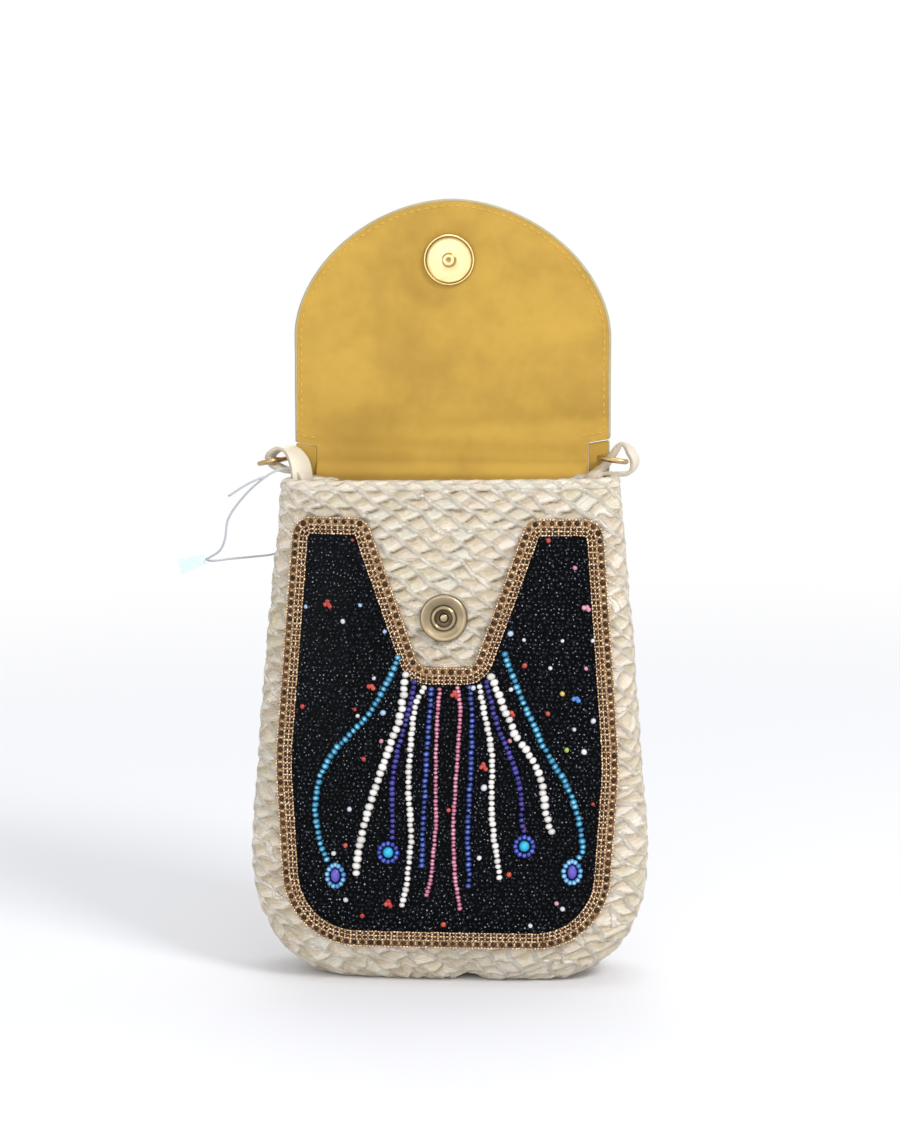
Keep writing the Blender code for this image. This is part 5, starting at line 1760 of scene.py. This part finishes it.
@dataclass
class SwingTag:
    """The blank swing tag on its looped thread."""

    thread: bpy.types.Material
    card: bpy.types.Material
    diameter: float = 0.0008
    card_half: Point = (0.0048, 0.0028, 0.0002)
    card_turn: float = math.radians(-18)
    hole: float = 0.0006
    hole_at: float = 0.0036
    bevel: float = 0.00008
    route: tuple[Point, ...] = (
        (-0.0590, 0.0016, 0.1834), (-0.0604, -0.0010, 0.1838), (-0.0637, -0.0033, 0.1828),
        (-0.0680, -0.0032, 0.1798), (-0.0729, -0.0016, 0.1754), (-0.0778, -0.0005, 0.1696),
        (-0.0806, 0.0, 0.1646), (-0.0815, 0.0, 0.1584), (-0.0834, 0.0002, 0.1540),
        (-0.0874, 0.0012, 0.1512), (-0.0889, 0.0030, 0.1502), (-0.0869, 0.0054, 0.1494),
        (-0.0810, 0.0090, 0.1497), (-0.0730, 0.0135, 0.1500), (-0.0660, 0.0170, 0.1506),
        (-0.0600, 0.0185, 0.1535), (-0.0560, 0.0185, 0.1610), (-0.0544, 0.0178, 0.1700),
        (-0.0544, 0.0162, 0.1780), (-0.0543, 0.0135, 0.1833), (-0.0535, 0.0103, 0.1838),
        (-0.0525, 0.0080, 0.1832))
    tail: tuple[Point, ...] = (
        (-0.0668, -0.0034, 0.1812), (-0.0705, -0.0040, 0.1797), (-0.0750, -0.0042, 0.1772),
        (-0.0795, -0.0042, 0.1742))
    centre: Point = (-0.0940, 0.0028, 0.1489)

    def cord(self, name: str, path: np.ndarray) -> bpy.types.Object:
        """Draw a thread as a curve."""
        deselect()
        bpy.ops.curve.primitive_nurbs_path_add()
        piece = bpy.context.object
        piece.name = name
        curve = piece.data
        curve.splines.remove(curve.splines[0])
        spline = curve.splines.new("POLY")
        spline.points.add(len(path) - 1)
        for spot, point in zip(spline.points, path):
            spot.co = (*point, 1.0)
        curve.bevel_depth = self.diameter / 2
        curve.bevel_resolution = 3
        curve.use_fill_caps = True
        return piece

    def plate(self) -> bpy.types.Object:
        """Cut the card with its far corners taken off, and drill its hole."""
        deselect()
        bpy.ops.mesh.primitive_cylinder_add(vertices=6, radius=1.0, depth=1.0)
        piece = bpy.context.object
        piece.name = "tag_card_plate"
        length, width, thick = self.card_half
        cut = width * 0.35
        outline = np.array([(-length, -width), (length - cut, -width), (length, -width + cut),
                            (length, width - cut), (length - cut, width), (-length, width)])
        points = coordinates(piece)
        turn = np.degrees(np.arctan2(points[:, 1], points[:, 0])) % 360
        flat = outline[(np.rint(turn / 60).astype(int) + 4) % 6]
        put(piece, np.stack([flat[:, 0], np.sign(points[:, 2]) * thick, flat[:, 1]], 1))
        with editing(piece):
            bpy.ops.mesh.normals_make_consistent(inside=False)
        bpy.ops.mesh.primitive_cylinder_add(vertices=24, radius=self.hole, depth=0.004,
                                            location=(self.hole_at, 0, 0),
                                            rotation=(math.radians(90), 0, 0))
        drill = bpy.context.object
        modify(piece, "BOOLEAN", operation="DIFFERENCE", solver="EXACT", object=drill)
        bpy.data.objects.remove(drill, do_unlink=True)
        modify(piece, "BEVEL", width=self.bevel, segments=2)
        place = np.array(Matrix.Translation(self.centre) @ Matrix.Rotation(self.card_turn, 4, "Y"))
        put(piece, coordinates(piece) @ place[:3, :3].T + place[:3, 3])
        return piece

    def build(self) -> None:
        """Make the thread, its short tail and the card."""
        card = dress(self.plate(), self.card, replaced=["swing_tag"])
        path = smooth_path(self.route, 150)
        thread = dress(self.cord("thread_loop", path), self.thread,
                       replaced=["tag_thread"])
        tail = tube("thread_tail", smooth_path(self.tail, 16), self.diameter / 2, 10)
        dress(tail, self.thread)


# ---------------------------------------------------------------------- the studio


@dataclass
class Studio:
    """Plain pale floor, soft light from the right, left, front, rear and above, and the camera.

    Each lamp is its name, its place, its size in metres and its power in watts.
    """

    target: Point = (0.0, 0.0, 0.1464)
    azimuth: float = 4.3
    elevation: float = 8.0
    distance: float = 1.147
    lens: float = 100.0
    sensor: float = 36.0
    ambient: float = 0.62
    sky: Colour = (0.97, 0.985, 1.0)
    ground: Colour = (0.82, 0.82, 0.845)
    lamps: tuple[tuple[str, Point, float, float], ...] = (
        ("key", (0.80, -0.75, 1.10), 0.40, 10.5), ("front", (0.10, -1.60, 0.75), 1.20, 5.0),
        ("low", (-0.70, -1.20, 0.22), 0.90, 3.0), ("top", (0.05, 0.15, 1.60), 1.00, 6.0),
        ("rear", (-0.30, 1.50, 0.70), 1.10, 5.0))

    def camera(self) -> None:
        """Set the camera at the photo's angle."""
        turn, rise = math.radians(self.azimuth), math.radians(self.elevation)
        away = Vector((math.sin(turn) * math.cos(rise), -math.cos(turn) * math.cos(rise),
                       math.sin(rise)))
        bpy.ops.object.camera_add(location=Vector(self.target) + away * self.distance)
        camera = bpy.context.object
        camera.name = "photo_camera"
        camera.rotation_euler = (-away).to_track_quat("-Z", "Y").to_euler()
        camera.data.lens = self.lens
        camera.data.sensor_width = self.sensor
        bpy.context.scene.camera = camera

    def whitened(self, net: Net, kind: str, share: Wire | float) -> None:
        """Show white, by a share, to the camera, to mirrors and through clear glass.

        Args:
            net: The floor's material or the world.
            kind: The shader that the white is made with.
            share: How much of it shows, from 0 to 1.
        """
        rays = net.node("ShaderNodeLightPath").socket.node.outputs
        seen = [Wire(net, rays[f"Is {ray} Ray"]) for ray in ("Camera", "Glossy", "Transmission")]
        white = net.node(kind, {}, {0: (1.0, 1.0, 1.0), 1: 1.0})
        mixed = net.node("ShaderNodeMixShader", {}, {
            0: (seen[0] + seen[1] + seen[2]).clamped() * share,
            1: Wire(net, net.shader.outputs[0]), 2: white})
        output = next(node for node in net.tree.nodes if node.type.startswith("OUTPUT"))
        net.plug(output.inputs[0], mixed)

    def floor(self) -> None:
        """Lay the floor, which fades to white away from the bag."""
        bpy.ops.mesh.primitive_plane_add(size=12.0, location=(0, 0, -0.0002))
        ground = bpy.context.object
        ground.name = "studio_floor"
        net = Net("studio_floor")
        net.set(Base_Color=self.ground, Roughness=0.9, Specular_IOR_Level=0.0)
        place = net.node("ShaderNodeSeparateXYZ", {}, {0: net.place()}).socket.node.outputs
        across, deep = Wire(net, place[0]), Wire(net, place[1])
        far = (across * across + deep * deep * 0.5).step(0.01, 0.60)
        self.whitened(net, "ShaderNodeEmission", far)
        ground.data.materials.append(net.material)

    def world(self) -> None:
        """Make what the camera and mirrors see white, and the ambient light soft grey."""
        net = Net("studio_world", world=True)
        bpy.context.scene.world = net.material
        net.plug(net.shader.inputs[0], self.sky)
        net.plug(net.shader.inputs[1], self.ambient)
        self.whitened(net, "ShaderNodeBackground", 1.0)

    def light(self, name: str, spot: Point, size: float, power: float) -> None:
        """Hang one soft light that looks at the bag."""
        bpy.ops.object.light_add(type="AREA", location=spot)
        lamp = bpy.context.object
        lamp.name = name
        lamp.data.size = size
        lamp.data.energy = power
        ahead = Vector((0, 0, 0.1)) - Vector(spot)
        lamp.rotation_euler = ahead.to_track_quat("-Z", "Y").to_euler()

    def build(self) -> None:
        """Set everything up."""
        deselect()
        self.camera()
        self.floor()
        self.world()
        for lamp in self.lamps:
            self.light(*lamp)
        bpy.context.scene.view_settings.view_transform = "Standard"


# ------------------------------------------------------------------------ assembly


# Each bead's two shades and, in the strands, the colour of the painted highlight on its crown.
PEARL = ((0.62, 0.59, 0.56), (0.86, 0.83, 0.80), (0.90, 0.90, 0.90))
STRAND_BEADS: dict[str, tuple[Colour, Colour, Colour]] = {
    "turquoise": ((0.010, 0.14, 0.27), (0.03, 0.27, 0.45), (0.40, 0.72, 0.86)),
    "outer_white": PEARL,
    "inner_white": PEARL,
    "violet": ((0.014, 0.010, 0.12), (0.035, 0.028, 0.22), (0.10, 0.09, 0.44)),
    "blue": ((0.008, 0.018, 0.12), (0.02, 0.05, 0.28), (0.20, 0.30, 0.70)),
    "pink": ((0.42, 0.11, 0.20), (0.62, 0.24, 0.34), (0.80, 0.50, 0.58)),
    "drop_light": ((0.03, 0.16, 0.38), (0.12, 0.38, 0.66), (0.50, 0.72, 0.88)),
    "drop_royal": ((0.012, 0.020, 0.20), (0.04, 0.07, 0.42), (0.20, 0.26, 0.80)),
    "stone_purple": ((0.10, 0.08, 0.45), (0.10, 0.08, 0.45), (0.16, 0.12, 0.56)),
    "stone_turquoise": ((0.02, 0.40, 0.64), (0.02, 0.40, 0.64), (0.04, 0.62, 0.74))}
ACCENT_BEADS: dict[str, tuple[Colour, Colour]] = {
    "red": ((0.36, 0.022, 0.018), (0.56, 0.09, 0.06)),
    "light_blue": ((0.26, 0.42, 0.66), (0.42, 0.58, 0.76)),
    "white": ((0.55, 0.56, 0.62), (0.76, 0.77, 0.82)),
    "pink": ((0.55, 0.18, 0.28), (0.70, 0.34, 0.42)),
    "yellow": ((0.60, 0.42, 0.08), (0.70, 0.52, 0.14)),
    "blue": ((0.04, 0.14, 0.48), (0.08, 0.26, 0.62)),
    "lime": ((0.30, 0.46, 0.09), (0.40, 0.56, 0.16))}
FINISHES = (
    StrawFinish(),
    ClothFinish("lining_cotton", (0.58, 0.352, 0.052), (0.45, 0.262, 0.036)),
    # The bead finishes paint shade towards the gaps; the black beads' last colour is their painted
    # highlight.
    BeadFinish("border_gold", (0.46, 0.28, 0.15), (0.92, 0.68, 0.45), 0.20, 0.6, gap_shade=0.4),
    BeadFinish("border_ground", (0.28, 0.16, 0.07), (0.38, 0.24, 0.11), 0.4, 0.4, gap_shade=1.0),
    BeadFinish("border_stone", (0.012, 0.004, 0.002), (0.085, 0.032, 0.012), 0.10, coat=0.0,
               gloss=0.22, gap_shade=0.5),
    BeadFinish("black_bead", (0.002, 0.0025, 0.004), (0.010, 0.012, 0.018), 0.18, coat=0.0,
               gloss=0.05, glint=(0.75, 0.80, 0.90)),
    MetalFinish("pale_brass", (0.90, 0.74, 0.38), (0.74, 0.54, 0.24), (0.28, 0.16, 0.04), 0.16),
    MetalFinish("ring_brass", (0.50, 0.35, 0.18), (0.24, 0.14, 0.06), (0.2, 0.1, 0.05), 0.14),
    MetalFinish("antique_brass", (0.40, 0.32, 0.20), (0.27, 0.21, 0.13), (0.08, 0.06, 0.035), 0.2),
    MetalFinish("ring_magnet", (0.20, 0.20, 0.21), (0.12, 0.12, 0.13), (0.05, 0.05, 0.05), 0.45),
    LeatherFinish("tab_leather", (0.70, 0.64, 0.52), (0.26, 0.18, 0.11)),
    PlainFinish("flap_edge", (0.36, 0.31, 0.16), (0.50, 0.43, 0.26), 0.6, 500),
    PlainFinish("stitch_thread", (0.62, 0.36, 0.06), (0.70, 0.44, 0.10)),
    PlainFinish("tag_thread", (0.40, 0.43, 0.47), (0.52, 0.55, 0.59), 0.4, 90),
    PlainFinish("tag_card", (0.62, 0.80, 0.90), (0.70, 0.86, 0.94), 0.5))
# The leather loops: where they run, how they face and how wide they are.
LEFT_ROUTE = ((-6.0, 2.0, -7.0), (-5.8, 2.8, -0.5), (-4.6, 4.5, 4.4), (-1.6, 5.5, 8.2),
              (2.4, 5.9, 9.0), (5.8, 6.0, 6.4), (4.4, 5.9, 3.2), (0.2, 5.8, 1.4),
              (-3.0, 5.0, 0.9), (-5.6, 3.6, 0.4), (-7.0, 2.4, -1.5), (-7.4, 2.0, -6.0))
LEFT_FACING = (50, 50, 52, 44, 30, 24, 24, 26, 28, 30, 32, 34)
LEFT_BAND = (8.6, 8.8, 8.4, 7.4, 6.6, 6.4, 6.4, 6.2, 6.0, 6.0, 6.0, 6.0)
RIGHT_ROUTE = ((-9.3, 1.8, -9.5), (-9.2, 2.0, -1.0), (-6.9, 4.2, 1.8), (-4.3, 4.8, 3.8),
               (-2.2, 5.6, 6.6), (-0.2, 6.1, 9.7), (1.8, 6.3, 11.8), (4.6, 6.2, 9.2),
               (6.4, 6.1, 5.2), (4.6, 6.0, 1.4), (-0.2, 5.7, 0.8), (-3.6, 5.1, 1.1),
               (-6.2, 3.8, 1.0), (-7.7, 2.2, -0.6), (-7.9, 1.9, -4.4), (-7.9, 1.8, -9.5))
RIGHT_FACING = (-34, -34, -28, -24, -24, -22, 0, 34, 28, 8, -16, -24, -28, -32, -34, -34)
RIGHT_BAND = (6.4, 6.2, 5.4, 5.2, 4.8, 4.4, 4.4, 5.0, 5.2, 5.2, 5.4, 5.6, 6.0, 6.4, 6.4, 6.4)
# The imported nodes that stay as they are, under the finish that each gets.
PACKED = {"lining_cotton": ("pocket_lining",), "black_bead": ("panel_backing", "bead_field"),
          "antique_brass": ("flap_snap_washer", "body_snap_base", "body_snap_washer"),
          "ring_magnet": ("body_snap_magnet",)}


def strand_material(name: str) -> bpy.types.Material:
    """Return the finish of one kind of bead in the strands and drops."""
    colour, shade, tip = STRAND_BEADS[name]
    # Painted highlights on the crowns, and painted shade towards the gaps, less of it on white
    # beads.
    return BeadFinish("bead_" + name, colour, shade, 0.18, glint=tip, crown=0.75,
                      gap_shade=0.55 if "white" in name else 0.22).build()


def main() -> None:
    """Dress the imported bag."""
    made = {finish.name: finish.build() for finish in FINISHES}
    straw, lining, black = made["plaited_straw"], made["lining_cotton"], made["black_bead"]
    StrawShell(straw).build()
    MouthBinding(straw).build()
    BeadBorder(made["border_gold"], made["border_ground"], made["border_stone"]).build()
    BeadField(black, {name: BeadFinish("accent_" + name, *colours, 0.2).build()
                      for name, colours in ACCENT_BEADS.items()}).build()
    StrandFan({name: strand_material(name) for name in STRAND_BEADS}).build()
    Flap(straw, lining, made["flap_edge"], made["stitch_thread"], made["pale_brass"]).build()
    BodySnap(made["antique_brass"]).build()
    leather, brass = made["tab_leather"], made["ring_brass"]
    for tab in (RingTab(Side.LEFT, leather, brass, LEFT_ROUTE, LEFT_FACING, LEFT_BAND,
                        (2.2, 5.9, 5.1), math.radians(12)),
                RingTab(Side.RIGHT, leather, brass, RIGHT_ROUTE, RIGHT_FACING, RIGHT_BAND,
                        (1.5, 6.7, 5.6), math.radians(-8))):
        side = tab.side.name.lower()
        tab.strap(f"{side}_tab")
        tab.ring(f"{side}_d_ring", f"{side}_ring")
    SwingTag(made["tag_thread"], made["tag_card"]).build()
    for finish, names in PACKED.items():
        for name in names:
            node = bpy.data.objects[name]
            node.data.materials.clear()
            node.data.materials.append(made[finish])
    Studio().build()


if __name__ == "__main__":
    main()
